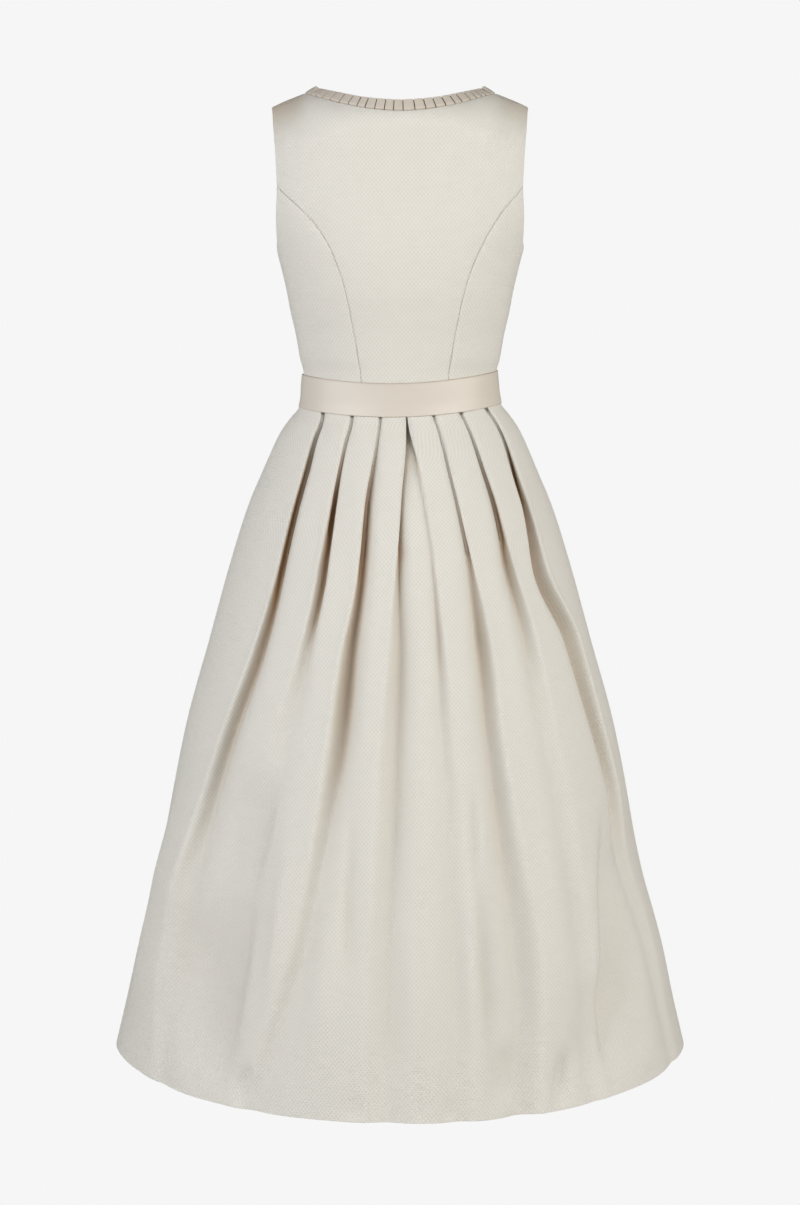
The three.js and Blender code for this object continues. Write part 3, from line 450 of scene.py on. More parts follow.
def angle_at_x(x, up, facing):
    """The angle at which the cloth lies x from the middle, behind (facing 1) or before (-1)."""
    depth = form["back"](up) if facing > 0 else form["front"](up)
    part = np.minimum(1, np.abs(x) / form["half"](up)) ** form["square"](up)
    y = depth * (1 - part) ** (1 / form["square"](up))
    angle = np.arctan2(x, facing * y)
    return np.where((facing < 0) & (np.asarray(x) < 0), angle + 2 * math.pi, angle)


# ---------------------------------------------------------------- edges of the bodice's panels
# An edge is an array of [angle, up]. Side is 1 on the wearer's left and -1 on the right.

# Points along the edges, before they are spaced evenly.
SEAM_ROWS = 56
ARMHOLE_ROWS = 36
UNDERARM_ROWS = 24
NECK_COLUMNS = 44
SHOULDER_COLUMNS = 9
UNDERARM_SPREAD = 0.8
# How late a princess seam bends to meet the armhole's edge: the power of its part of the way up.
TOP_PULL = 6
# Millimetres of cloth between points along a panel's edge, in its middle, and in from its edge.
EDGE_STEP = 2.8
DENSE_STEP = EDGE_STEP / 8
FILL_STEP = 4.6
CLOSE_EDGE = [0.25, 0.6, 1.1, 1.9, 3.2]
# A point set in from an edge is kept if it is no nearer to any other edge than this part of its place.
KEEP_PART = 0.85


def edge(angle, up):
    return np.stack(np.broadcast_arrays(angle, up), axis=-1).astype(float)


def waist_point(angle):
    return WAIST + waist_lift(angle)


def side_angle(side, facing, up):
    angle = side * 90 * DEGREE - cloth_turn(up) * DEGREE
    return angle + 2 * math.pi if facing < 0 and side < 0 else angle


def princess_angle_at(side, facing, up):
    if facing > 0:
        return side * princess_angle(up) * DEGREE - cloth_turn(up) * DEGREE
    return math.pi - side * princess_angle(up) * DEGREE


def armhole_edge(side, facing, up):
    across = armhole_back(up) if facing > 0 else armhole_front(up)
    return edge(angle_at_x(side * across, up, facing), up)


def princess_seam(side, facing):
    top = armhole_edge(side, facing, PRINCESS_TOP)[0]
    pull = top - princess_angle_at(side, facing, PRINCESS_TOP)
    foot = waist_point(princess_angle_at(side, facing, WAIST))
    t = np.linspace(0, 1, SEAM_ROWS + 1)
    up = foot + (PRINCESS_TOP - foot) * t
    return edge(princess_angle_at(side, facing, up) + pull * t**TOP_PULL, up)


def armhole_above(side, facing):
    tip = ridge_up(SHOULDER_TIP) - SEAM_GAP
    t = np.linspace(0, 1, ARMHOLE_ROWS + 1)[1:]
    return armhole_edge(side, facing, PRINCESS_TOP + (tip - PRINCESS_TOP) * t)


def side_seam(side, facing):
    foot = waist_point(side_angle(side, facing, WAIST))
    up = foot + (UNDERARM - foot) * np.linspace(0, 1, SEAM_ROWS + 1)
    return edge(side_angle(side, facing, up), up)


def armhole_below(side, facing):
    """From the top of the princess seam down to the top of the side seam."""
    lowest = ARMHOLE_BACK[0]["up"]
    t = np.linspace(0, 1, UNDERARM_ROWS) ** UNDERARM_SPREAD
    curved = armhole_edge(side, facing, PRINCESS_TOP + (lowest - PRINCESS_TOP) * t)
    end = edge(side_angle(side, facing, UNDERARM), UNDERARM)
    last = curved[-1] + (end - curved[-1]) * np.linspace(0, 1, UNDERARM_ROWS // 4 + 1)[1:, None]
    return np.concatenate([curved, last])


def shoulder_seam(side, facing, start, end):
    x = np.linspace(start, end, SHOULDER_COLUMNS + 1)
    up = ridge_up(x) - SEAM_GAP
    return edge(angle_at_x(side * x, up, facing), up)


def neckline(side, facing, count):
    """Half of the neckline, from the shoulder seam to the centre."""
    lowest = NECK["back"] if facing > 0 else NECK["front"]
    top = shoulder(NECK["half"]) + NECK["round"] * (math.pi / 2 - 1) - SEAM_GAP
    quarter = np.linspace(0, 1, count + 1) ** NECK["crowd"] * math.pi / 2
    x = NECK["half"] * np.maximum(0, np.cos(quarter)) ** (2 / NECK["bend"])
    drawn = top + (lowest - top) * np.sin(quarter) ** (2 / NECK["bend"])
    up = up_at(x, height_at(x, drawn, NECK["round"]), shoulder_round(x))
    up[0] = ridge_up(NECK["half"]) - SEAM_GAP
    made = edge(angle_at_x(side * x, up, facing), up)
    made[-1, 0] = 0 if facing > 0 else math.pi
    return made


def draw_in(line, way):
    """A seam edge drawn in by half the seam gap, square to the seam."""
    slant = np.gradient(line[:, 0]) / np.gradient(line[:, 1])
    width = metric(*line.T)
    made = line.copy()
    made[:, 0] += way * SEAM_GAP / 2 * np.hypot(1, slant * width) / width
    return made


def waist_edge(start, end):
    angle = np.linspace(start, end, NECK_COLUMNS + 1)
    return edge(angle, waist_point(angle))


def spaced(line, step):
    """The same edge with its points evenly spaced along the cloth."""
    run = run_along(on_form(line))
    return read_line(np.linspace(0, run[-1], max(1, math.ceil(run[-1] / step)) + 1), run, line)


def outline(edges, step):
    """A panel's closed outline from its edges, in order, anticlockwise in the chart."""
    return np.concatenate([spaced(line, step)[:-1] for line in edges])


def inside(points, polygon):
    """Which points of the chart lie inside a closed outline."""
    x, y = points[:, 0][:, None], points[:, 1][:, None]
    ax, ay = polygon[:, 0][None], polygon[:, 1][None]
    bx, by = np.roll(polygon[:, 0], -1)[None], np.roll(polygon[:, 1], -1)[None]
    spans = (ay > y) != (by > y)
    crossing = ax + (y - ay) * (bx - ax) / np.where(spans, by - ay, 1)
    return (spans & (x < crossing)).sum(axis=1) % 2 == 1


# Points measured at once, to spare memory.
GROUP = 500


def distance_to(points, line):
    """How far each point lies from the nearest of the line's points, in space."""
    groups = np.array_split(points, math.ceil(len(points) / GROUP))
    return np.concatenate([
        np.sqrt(((group[:, None] - line[None]) ** 2).sum(axis=-1).min(axis=1)) for group in groups
    ])


def cut_out(edges):
    """Cuts a panel: its points [angle, up], its triangles and how far each point lies from the edge."""
    rim = outline(edges, EDGE_STEP)
    border = on_form(outline(edges, DENSE_STEP))
    width = metric(*rim.T)
    ahead = np.roll(rim, -1, axis=0) - np.roll(rim, 1, axis=0)
    inward = unit(np.stack([-ahead[:, 1], ahead[:, 0] * width], axis=1))
    points = [rim]
    for reach in CLOSE_EDGE:
        ring = rim + reach * inward / np.stack([width, np.ones(len(rim))], axis=1)
        near = distance_to(on_form(ring), border)
        points.append(ring[(near > KEEP_PART * reach) & inside(ring, rim)])
    low, high = rim.min(axis=0), rim.max(axis=0)
    middle = metric((low[0] + high[0]) / 2, (low[1] + high[1]) / 2)
    across = np.arange(low[0], high[0], FILL_STEP / middle)
    upward = np.arange(low[1], high[1], FILL_STEP * math.sqrt(0.75))
    fill = np.stack(np.meshgrid(across, upward), axis=-1)
    fill[1::2, :, 0] += 0.5 * FILL_STEP / middle
    fill = fill.reshape(-1, 2)
    fill = fill[inside(fill, rim)]
    near = distance_to(on_form(fill), border)
    points.append(fill[near > CLOSE_EDGE[-1] + 0.5 * FILL_STEP])
    flat = np.concatenate(points) * [middle, 1]
    made = delaunay_2d_cdt([Vector(p) for p in flat], [], [list(range(len(rim)))], 1, 1e-5)
    chart = np.array([list(p) for p in made[0]]) / [middle, 1]
    triangles = np.array(made[2])[:, ::-1]
    return chart, triangles, distance_to(on_form(chart), border)


# ---------------------------------------------------------------- cloth from grids of points

def grid_faces(rows, across):
    """The four-sided faces of a grid of points, facing out."""
    at = np.arange(rows * across).reshape(rows, across)
    return np.stack([at[:-1, :-1], at[1:, :-1], at[1:, 1:], at[:-1, 1:]], axis=-1).reshape(-1, 4)


def open_edges(faces):
    """The edges that only one face has, each in that face's own direction."""
    pairs = np.concatenate([faces[:, [k, (k + 1) % faces.shape[1]]] for k in range(faces.shape[1])])
    _, first, uses = np.unique(np.sort(pairs, axis=1), axis=0, return_index=True, return_counts=True)
    return pairs[first[uses == 1]]


def cloth_piece(name, outer, inner, faces, chart, material, painted_amount):
    """A closed wall of cloth between two layers of points, with its flat cut as the UV map, in metres, and on
    its outer face how much shade is painted at each point."""
    count = outer.size // 3
    points = np.concatenate([outer.reshape(-1, 3), inner.reshape(-1, 3)]) * MM
    border = open_edges(faces)
    rim = np.stack([border[:, 1], border[:, 0], border[:, 0] + count, border[:, 1] + count], axis=1)
    mesh = bpy.data.meshes.new(name)
    back = faces[:, ::-1] + count
    mesh.from_pydata(points.tolist(), [], [*faces.tolist(), *back.tolist(), *rim.tolist()])
    corners = np.zeros(len(mesh.loops), np.int32)
    mesh.loops.foreach_get("vertex_index", corners)
    both = np.concatenate([chart.reshape(-1, 2)] * 2) * MM
    mesh.uv_layers.new(name="cloth").data.foreach_set("uv", both[corners].astype(np.float32).ravel())
    closed = np.concatenate([painted_amount.ravel(), np.zeros(count)]).astype(np.float32)
    mesh.attributes.new(name="painted_shade", type="FLOAT", domain="POINT").data.foreach_set("value", closed)
    mesh.shade_smooth()
    mesh.materials.append(material)
    made = bpy.data.objects.new(name, mesh)
    bpy.context.scene.collection.objects.link(made)
    return made


# Cloth nearer to a point than this is its own fold, and doesn't shut it in.
OWN_FOLD = 1.2
# How much of its half thickness the cloth's edge is rounded by.
EDGE_ROUND = 0.9


def painted_shade(line):
    """How much shade is painted on each point of a folded line, by how far the folds beside it shut it in: 0
    in the open, 1 closed.
    """
    ahead = line[None, :, 0] - line[:, None, 0]
    above = line[None, :, 1] - line[:, None, 1]
    over = (np.hypot(ahead, above) > OWN_FOLD) & (above > 0)
    rise = np.where(over, np.arctan2(above, np.abs(ahead)), 0)
    left = np.where(ahead < 0, rise, 0).max(axis=1)
    right = np.where(ahead >= 0, rise, 0).max(axis=1)
    return (left + right) / math.pi


def evened(values, places, reach):
    """Values blended along their first axis with those that lie within reach."""
    weight = np.exp(-(((places[:, None] - places[None, :]) / reach) ** 2))
    return weight / weight.sum(axis=1, keepdims=True) @ values


def turned_over(distance, wall):
    """How far both faces close in near an edge, where the cloth is folded over: round, not cut square."""
    radius = wall / 2
    part = np.clip(1 - distance / radius, 0, 1)
    return EDGE_ROUND * radius * (1 - np.sqrt(1 - part**2))


def sew(piece, nodes):
    """The piece rides on the dress's one body and stands for its solid."""
    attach(piece, "root")
    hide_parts(*nodes)


# ---------------------------------------------------------------- bodice

# How deep the cloth is drawn in along a seam, and over what width.
SEAM_SINK = 0.9
SEAM_REACH = 1.3
# Steps from a panel's middle to a point, to measure its flat cut.
CHART_STEPS = 24
# The painted shade over the shoulders' tips: how far out it starts, how wide and tall it is, and how strong.
SHOULDER_SHADE = {"from": 90, "wide": 50, "tall": 85, "left": 0.51, "right": 0.43}
FAR = 1e6
# Soft creases of the bodice: where, how long and wide, how they lean, and how far they stand out.
BODICE_CREASES = table(
    ("angle", "up", "wide", "tall", "lean", "rise"),
    (48, -172, 12, 22, -35, -1.6), (30, -352, 9, 30, 14, 0.7), (-26, -345, 8, 34, -10, -0.7),
)


def bodice_creases(angle, points):
    """How far the cloth stands off in its creases, behind or before as each crease is."""
    lift = np.zeros(angle.shape)
    for crease in BODICE_CREASES:
        away = points - bodice_point(crease["angle"] * DEGREE, crease["up"])
        same_side = np.cos(angle) * math.cos(crease["angle"] * DEGREE) > 0
        across = np.where(same_side, away[..., 0], FAR)
        lean = crease["lean"] * DEGREE
        beside = across * math.cos(lean) + away[..., 2] * math.sin(lean)
        along = -across * math.sin(lean) + away[..., 2] * math.cos(lean)
        lift += crease["rise"] * np.exp(-(beside / crease["wide"]) ** 2 - (along / crease["tall"]) ** 2)
    return lift


def shoulder_shade(points):
    """The shade painted on the cloth over the tip of each shoulder, as though it leaned out of the light."""
    out = eased((np.abs(points[:, 0]) - SHOULDER_SHADE["from"]) / SHOULDER_SHADE["wide"])
    below = eased((shoulder(np.abs(points[:, 0])) - points[:, 2]) / SHOULDER_SHADE["tall"])
    return np.where(points[:, 0] > 0, SHOULDER_SHADE["left"], SHOULDER_SHADE["right"]) * out * (1 - below)


def bodice_panel(node, edges, middle, material, wall):
    """One panel of the bodice, as cloth over the form, its edges turned in at the seams."""
    cut, triangles, near = cut_out(edges)
    angle, up = cut[:, 0], cut[:, 1]
    surface = bodice_point(angle, up)
    normal = bodice_normal(angle, up)
    sink = SEAM_SINK * np.exp(-((near / SEAM_REACH) ** 2)) - bodice_creases(angle, surface)
    close = turned_over(near, wall)
    outer = surface - normal * (sink + close)[:, None]
    inner = surface - normal * (sink + wall - close)[:, None]
    steps = np.linspace(0, 1, CHART_STEPS + 1)[:, None]
    along = bodice_point(middle + (angle - middle) * steps, up + 0 * steps)
    width = np.linalg.norm(np.diff(along, axis=0), axis=-1).sum(axis=0) * np.sign(angle - middle)
    chart = np.stack([width, up], axis=-1)
    # Painted shade over the tips of the shoulders.
    shade = shoulder_shade(outer)
    piece = cloth_piece(f"{node}_cloth", outer, inner, triangles, chart, material, shade)
    sew(piece, [node])


def centre_back_edges():
    right = np.concatenate([draw_in(princess_seam(-1, 1), 1), armhole_above(-1, 1)])
    left = np.concatenate([draw_in(princess_seam(1, 1), -1), armhole_above(1, 1)])
    return [
        waist_edge(right[0, 0], left[0, 0]),
        left,
        shoulder_seam(1, 1, SHOULDER_TIP, NECK["half"]),
        neckline(1, 1, NECK_COLUMNS),
        neckline(-1, 1, NECK_COLUMNS)[::-1],
        shoulder_seam(-1, 1, NECK["half"], SHOULDER_TIP),
        right[::-1],
    ]


def side_edges(side, facing):
    """A side panel between its princess seam and its side seam, its top cut by the armhole."""
    way = side * facing
    centre_edge = draw_in(princess_seam(side, facing), way)
    outer_edge = draw_in(side_seam(side, facing), -way)
    armhole = armhole_below(side, facing)
    armhole[0], armhole[-1] = centre_edge[-1], outer_edge[-1]
    waist = [centre_edge[0, 0], outer_edge[0, 0]]
    if way > 0:
        return [waist_edge(*waist), outer_edge, armhole[::-1], centre_edge[::-1]]
    return [waist_edge(*waist[::-1]), centre_edge, armhole, outer_edge[::-1]]


def front_edges(side):
    arm_side = np.concatenate([draw_in(princess_seam(side, -1), side), armhole_above(side, -1)])
    neck = neckline(side, -1, NECK_COLUMNS)
    shoulder_edge = shoulder_seam(side, -1, SHOULDER_TIP, NECK["half"])
    rise = np.linspace(WAIST, NECK["front"], SEAM_ROWS)
    centre = draw_in(edge(math.pi, rise), -side)
    neck[-1] = centre[-1]
    waist = [arm_side[0, 0], centre[0, 0]]
    if side > 0:
        return [waist_edge(*waist), centre, neck[::-1], shoulder_edge[::-1], arm_side[::-1]]
    return [waist_edge(*waist[::-1]), arm_side, shoulder_edge, neck, centre[::-1]]


class OBJECT_OT_dirndl_bodice(bpy.types.Operator):
    """Cut and sew the seven panels of the bodice"""

    bl_idname = "object.dirndl_bodice"
    bl_label = "Bodice"

    def execute(self, context):
        cloth = context.scene.dirndl_cloth
        jacquard = woven_jacquard(cloth)
        wall = cloth.bodice_wall / MM
        bodice_panel("bodice_back", centre_back_edges(), 0, jacquard, wall)
        for side, word in ((1, "left"), (-1, "right")):
            for facing, place in ((1, "side_back"), (-1, "side_front")):
                edges = side_edges(side, facing)
                bodice_panel(f"bodice_{place}_{word}", edges, edges[0][:, 0].mean(), jacquard, wall)
            bodice_panel(f"bodice_front_{word}", front_edges(side), math.pi, jacquard, wall)
        return {"FINISHED"}


# ---------------------------------------------------------------- neck trim

# The strip climbs at this angle where it can, within these angles off the cloth beside it.
TRIM_CLIMB = 58
TRIM_STAND = (-6, 15)
# How a pleat leaves the slot under the edge before it: millimetres along, and its rise as a part.
PLEAT_SLOT = [(0.3, -0.02), (0.8, 0), (1.2, 0.12), (1.5, 0.45), (1.75, 0.75), (2.1, 0.9), (2.6, 0.95)]
# The face of a pleat: points at these parts of its width, from this part of its rise to the whole.
PLEAT_FACE = (0.4, 0.6, 0.8, 0.93)
FACE_FROM = 0.94
# How a pleat turns under at its edge and lies back: millimetres past the edge, part of the underlay
# behind it, part of the rise, and millimetres off that.
PLEAT_RETURN = [
    (0, 0, 1, 0), (0.25, 0, 1, -0.3), (0, 0, 1, -0.6), (0, 0.5, 0.45, 0), (0, 1, 0.3, 0),
    (-0.25, 1, 0.15, 0), (0, 1, -0.05, 0), (0, 0.4, -0.1, 0), (-0.2, 0, -0.1, 0),
]
# The lift of the trim's first point.
PLEAT_START = 0.1
# Rows of the strip: how far beyond the neckline, how full its pleats stand, and how deep it lies.
TRIM_ROWS = [
    (-2.2, 0.08, 3.5), (-1, 0.08, 3.5), (0.1, 0.12, 3.3), (0.4, 0.4, 2.7), (0.8, 0.75, 2.1), (1.6, 0.88, 1.9),
    (3.5, 0.95, 1.9), (7, 1, 1.9), (11, 1, 1.9), (14, 1, 1.9), (15.1, 1, 1.9), (15.5, 1, 1.9),
    (15.65, 1, 1.9),
]
# Where the pleats' edges lie across the back, at the middle of the strip, and their pitch elsewhere.
PLEATS_BEHIND = [
    -117.1, -110.2, -104.7, -99.6, -93.2, -85.4, -74.9, -66.4, -55.7, -43.9, -31.8, -18.9,
    -4.7, 6.8, 17.8, 29.4, 40.8, 50.6, 61, 72.1, 83.2, 93, 101.1,
]
PLEAT_PITCH = 11.5
# Painted shade laid evenly over the whole trim, as though the close pleats shut each other in even at their
# tops.
TRIM_SHADE = 0.26


def neck_round():
    """The whole neckline, from the centre front round the wearer's right and back to the centre front."""
    count = 3 * NECK_COLUMNS
    line = np.concatenate([
        neckline(-1, -1, count)[::-1],
        neckline(-1, 1, count)[1:],
        neckline(1, 1, count)[::-1][1:],
        neckline(1, -1, count)[1:],
    ])
    return on_form(line), bodice_normal(*line.T), 2 * count


def pleat_edges(start, end, lengths, across):
    """Where each pleat's folded edge lies along the neckline, between its two ends."""
    behind = np.interp(PLEATS_BEHIND, across, lengths)
    before = np.linspace(start, behind[0], round((behind[0] - start) / PLEAT_PITCH) + 1)
    after = np.linspace(behind[-1], end, round((end - behind[-1]) / PLEAT_PITCH) + 1)
    return np.concatenate([before, behind[1:-1], after])


def knife_pleats(edges, rise, under):
    """The middle line [length, lift] of a strip in knife pleats, each lying under the next one's edge."""
    line = [[edges[0], PLEAT_START]]
    for start, end in zip(edges[:-1], edges[1:]):
        line += [[start + run, rise * climb] for run, climb in PLEAT_SLOT]
        line += [[start + t * (end - start), rise * (FACE_FROM + (1 - FACE_FROM) * t)] for t in PLEAT_FACE]
        if end < edges[-1]:
            line += [
                [end + past - back * under, rise * part + off] for past, back, part, off in PLEAT_RETURN
            ]
    return np.array([*line, [edges[-1], rise]])


class OBJECT_OT_dirndl_neck_trim(bpy.types.Operator):
    """Fold a satin strip into knife pleats and set it round the neckline"""

    bl_idname = "object.dirndl_neck_trim"
    bl_label = "Neck trim"

    def execute(self, context):
        satin = context.scene.dirndl_satin
        points, normals, back = neck_round()
        lengths = run_along(points)
        lengths -= lengths[back]
        gap = SEAM_GAP / 2
        away = unit(np.cross(unit(np.gradient(points, axis=0)), normals))
        middle = points[:, 0] + away[:, 0] * TRIM_ROWS[-1][0] / 2
        rear = slice(back // 2, back + back // 2 + 1)
        edges = pleat_edges(lengths[0] + gap, lengths[-1] - gap, lengths[rear], middle[rear])
        line = knife_pleats(edges, satin.pleat_rise / MM, satin.pleat_under / MM)
        half_wall = satin.trim_wall / MM / 2
        reaches = np.array([row[0] for row in TRIM_ROWS])
        layers = []
        for way in (1, -1):
            rows = []
            for reach, full, sink in TRIM_ROWS:
                close = turned_over(min(reach - reaches[0], reaches[-1] - reach), 2 * half_wall)
                at, lift = (line + side_of(line) * way * (half_wall - close)).T
                normal = unit(read_line(at, lengths, normals))
                along = read_line(at + 1, lengths, points) - read_line(at - 1, lengths, points)
                away = unit(np.cross(unit(along), normal))
                climb = TRIM_CLIMB * DEGREE - np.arcsin(away[:, 2])
                stand = np.clip(climb, TRIM_STAND[0] * DEGREE, TRIM_STAND[1] * DEGREE)[:, None]
                across = away * np.cos(stand) + normal * np.sin(stand)
                face = normal * np.cos(stand) - away * np.sin(stand)
                settled = line[:, 1] * full + (lift - line[:, 1]) - sink
                rows.append(read_line(at, lengths, points) + across * reach + face * settled[:, None])
            layers.append(np.stack(rows))
        outer, inner = layers
        run = run_along(line)
        chart = np.stack(np.broadcast_arrays(run[None, :], reaches[:, None]), axis=-1)
        faces = grid_faces(*outer.shape[:2])
        # Painted shade between the pleats, and the even painted shade over the whole trim.
        painted_amount = np.broadcast_to(painted_shade(line) + TRIM_SHADE, outer.shape[:2])
        piece = cloth_piece("neck_trim_satin", outer, inner, faces, chart, champagne_satin(satin), painted_amount)
        sew(piece, ["neck_trim"])
        return {"FINISHED"}


# ---------------------------------------------------------------- waistband

BAND_COLUMNS = 240
BAND_ROWS = 22
# Rows set close to the band's edges, in millimetres, and how far its middle stands out.
BAND_EDGE = [0, 0.1, 0.3, 0.7, 1.4]
BAND_CROWN = 0.7
# The band's ripple: where its wave starts and how it leans, in radians, and how deep its two waves are.
WAVE = {"starts": 1.1, "leans": 0.6, "deep": 0.25, "fine": 0.15}
# Painted shadow along the band's two edges where they are sewn down: how strong it is at each edge, and how
# soon it fades.
BAND_SHADE = {"top": 0.62, "top_fades": 1.6, "foot": 0.6, "foot_fades": 0.7}


class OBJECT_OT_dirndl_waistband(bpy.types.Operator):
    """Wrap the satin waistband over the waist seam"""

    bl_idname = "object.dirndl_waistband"
    bl_label = "Waistband"

    def execute(self, context):
        satin = context.scene.dirndl_satin
        wall = satin.band_wall / MM
        top, foot = BAND_FORM[0]["z"], BAND_FORM[-1]["z"]
        ends = math.asin(SEAM_GAP / 2 / BAND_FORM[0]["front"])
        angle = np.linspace(-math.pi + ends, math.pi - ends, BAND_COLUMNS + 1)[None, :]
        near = np.array(BAND_EDGE) / (top - foot)
        part = np.concatenate([near, np.linspace(0, 1, BAND_ROWS + 1)[1:-1], 1 - near[::-1]])[:, None]
        height = foot + (top - foot) * part
        crown = BAND_CROWN * np.sin(math.pi * part) + band_ripple(angle, part)
        close = turned_over(np.minimum(height - foot, top - height), wall)
        layers = []
        for inset in (close - crown, wall - close - crown * 0.5):
            depth = np.where(np.cos(angle) > 0, band_size["back"](height), band_size["front"](height))
            x = (band_size["half"](height) - inset) * np.sin(angle)
            y = (depth - inset) * np.cos(angle)
            layers.append(np.stack(np.broadcast_arrays(x, y, height + waist_lift(angle)), axis=-1))
        outer, inner = layers
        run = run_along(outer[len(outer) // 2])
        chart = np.stack(np.broadcast_arrays(run[None, :], height), axis=-1)
        faces = grid_faces(*outer.shape[:2])
        # Painted shadow along the band's top and foot.
        at_top = BAND_SHADE["top"] * np.exp(-(top - height) / BAND_SHADE["top_fades"])
        at_foot = BAND_SHADE["foot"] * np.exp(-(height - foot) / BAND_SHADE["foot_fades"])
        painted_amount = np.broadcast_to(at_top + at_foot, outer.shape[:2])
        piece = cloth_piece("waistband_satin", outer, inner, faces, chart, champagne_satin(satin), painted_amount)
        sew(piece, ["waistband"])
        return {"FINISHED"}


def band_ripple(angle, part):
    """The waistband's slight unevenness where it is drawn round the waist: a wave that leans as it goes
    round, and a finer one."""
    wave = np.sin(3 * angle + WAVE["starts"]) * np.sin(2 * math.pi * part + WAVE["leans"] * np.sin(2 * angle))
    return WAVE["deep"] * wave + WAVE["fine"] * np.sin(7 * angle + 4 * part)


# ---------------------------------------------------------------- skirt

SKIRT_ROWS = 104
# The rows are spread by a wave and a power, and lie close, in walls of cloth, at the hem.
ROW_SPREAD = {"wave": 0.12, "power": 1.25}
HEM_ROWS = [0, 0.12, 0.35, 0.8, 1.6, 4]
# Points of a ring: this far apart, within these counts for each stretch, and eased in one so long.
CURVE_STEP = 3.3
FEWEST, MOST = 2, 12
EASED_STRETCH = 4
RING_ANGLES = 1081
# Points carried past a ring's ends while its corners are rounded.
PAST_ENDS = 60
SEAM_ROOM = 0.15
# The turned-up hem's thickness and the height over which it starts.
TURN_UP = {"thick": 0.8, "starts": 1.5}
# The skirt's creases die away within this length of its side seams.
CREASE_CALM = 55
# The part of its length over which each end of a crease fades.
CREASE_FADE = 0.42


class SkirtRing:
    """One ring of the skirt: its middle line at a height, measured along itself from the centre back."""

    def __init__(self, z, wall):
        self.z = z
        self.half = skirt_size["half"](z) - wall / 2
        self.behind = skirt_size["back"](z) - wall / 2
        self.before = skirt_size["front"](z) - wall / 2
        self.power = 2 / skirt_size["square"](z)
        self.angles = np.linspace(0, 1.5 * math.pi, RING_ANGLES)
        self.lengths = run_along(self.flat(self.angles))

    def flat(self, angle):
        depth = np.where(np.cos(angle) > 0, self.behind, self.before)
        across = np.sign(np.sin(angle)) * np.abs(np.sin(angle)) ** self.power
        deep = np.sign(np.cos(angle)) * np.abs(np.cos(angle)) ** self.power
        return np.stack([self.half * across, depth * deep], axis=-1)

    def length_at(self, angle):
        return np.sign(angle) * np.interp(np.abs(angle), self.angles, self.lengths)

    def angle_at(self, length):
        return np.sign(length) * np.interp(np.abs(length), self.lengths, self.angles)

    def angle_of_share(self, share):
        return math.copysign(math.asin(abs(share) ** (1 / self.power)), share)

    def points(self, line):
        angle = self.angle_at(line[:, 0])
        here = self.flat(angle)
        along = unit(self.flat(angle + DEGREE) - self.flat(angle - DEGREE))
        fade = np.clip((self.z - LIFT_ENDS) / (WAIST - LIFT_ENDS), 0, 1)
        lowered = (HEM_LIFT["starts"] - self.z) / (HEM_LIFT["starts"] - HEM_LIFT["ends"])
        around = (angle / DEGREE + 180) % 360 - 180
        height = self.z + waist_lift(angle) * fade + hem_rise(around) * np.clip(lowered, 0, 1)
        x = here[:, 0] - along[:, 1] * line[:, 1]
        y = here[:, 1] + along[:, 0] * line[:, 1]
        return np.stack([x, y, height], axis=-1)


def fold_size(fold, key, z):
    """One of a fold's sizes at a height."""
    return float(curve([{"z": h, key: v} for h, v in zip(VALLEY_HEIGHTS, fold[key])], "z", key)(z))


def fold_points(fold, z, ring, turned):
    """The points [length, lift] of one fold, in order along the cloth."""
    at = curve([{"z": h, "at": a} for h, a in zip(FOLD_HEIGHTS, fold["at"])], "z", "at")(z)
    angle = ring.angle_of_share(float(at))
    place = float(ring.length_at(math.pi - angle if turned else angle))
    pressed = np.clip((z - VALLEY_HEIGHTS[0]) / (PRESSED - VALLEY_HEIGHTS[0]), 0, 1)
    depth = fold_size(fold, "deep", z) * (1 - pressed) + 2 * LAYER_PITCH * pressed
    wall = fold_size(fold, "wall", z)
    lap = max(0, float(skirt_size["lap"](z)) - WALL_OPENS * wall)
    step = max(LAYER_PITCH, FOLD_SLANT * depth)
    across = [
        [-(wall + lap + EDGE_ROLL["wide"]), 0],
        [-wall, EDGE_ROLL["rise"] * depth],
        [-wall * 2 / 3, -step],
        [-wall / 3 - lap, step - depth],
        [-lap, -depth],
        [FOLD_CLEAR, -depth],
    ]
    placed = [[place + fold["faces"] * q, lift] for q, lift in across]
    return placed if fold["faces"] > 0 else placed[::-1]


def strip_points(start, end, climbs, room):
    """A strip between two folds: it climbs out of each low end over its own length of cloth. One with
    little room in a box pleat stays level."""
    width = end[0] - start[0]
    reach = [max(1, min(climb, width)) for climb in climbs]
    opened = np.clip((room - BOX_LEVEL[0]) / (BOX_LEVEL[1] - BOX_LEVEL[0]), 0, 1)
    made = []
    for t in 0.5 - 0.5 * np.cos(math.pi * np.arange(1, STRIP_POINTS + 1) / (STRIP_POINTS + 1)):
        from_start = start[1] * max(0, 1 - t * width / reach[0]) ** 2
        to_end = end[1] * max(0, 1 - (1 - t) * width / reach[1]) ** 2
        level = start[1] * (1 - t) + end[1] * t
        made.append([start[0] + width * t, opened * (from_start + to_end) + (1 - opened) * level])
    return made


def ring_line(folds, z, ring, start, end, turned):
    """The whole middle line of a panel's ring, folds and strips, as [length, lift]."""
    line = [[float(ring.length_at(start)), 0]]
    climb = PLAIN_CLIMB
    for k, fold in enumerate(folds):
        following = fold_points(fold, z, ring, turned)
        room = following[0][0] - line[-1][0]
        if k == BOXED_FOLD and not turned:
            line.pop()
            following.pop(0)
        beside = fold_size(fold, "climb", z)
        line += strip_points(line[-1], following[0], (climb, beside), room)
        line += following
        climb = beside
    finish = [float(ring.length_at(end)), 0]
    line += strip_points(line[-1], finish, (climb, PLAIN_CLIMB), BOX_LEVEL[1])
    line.append(finish)
    return np.array(line, float)


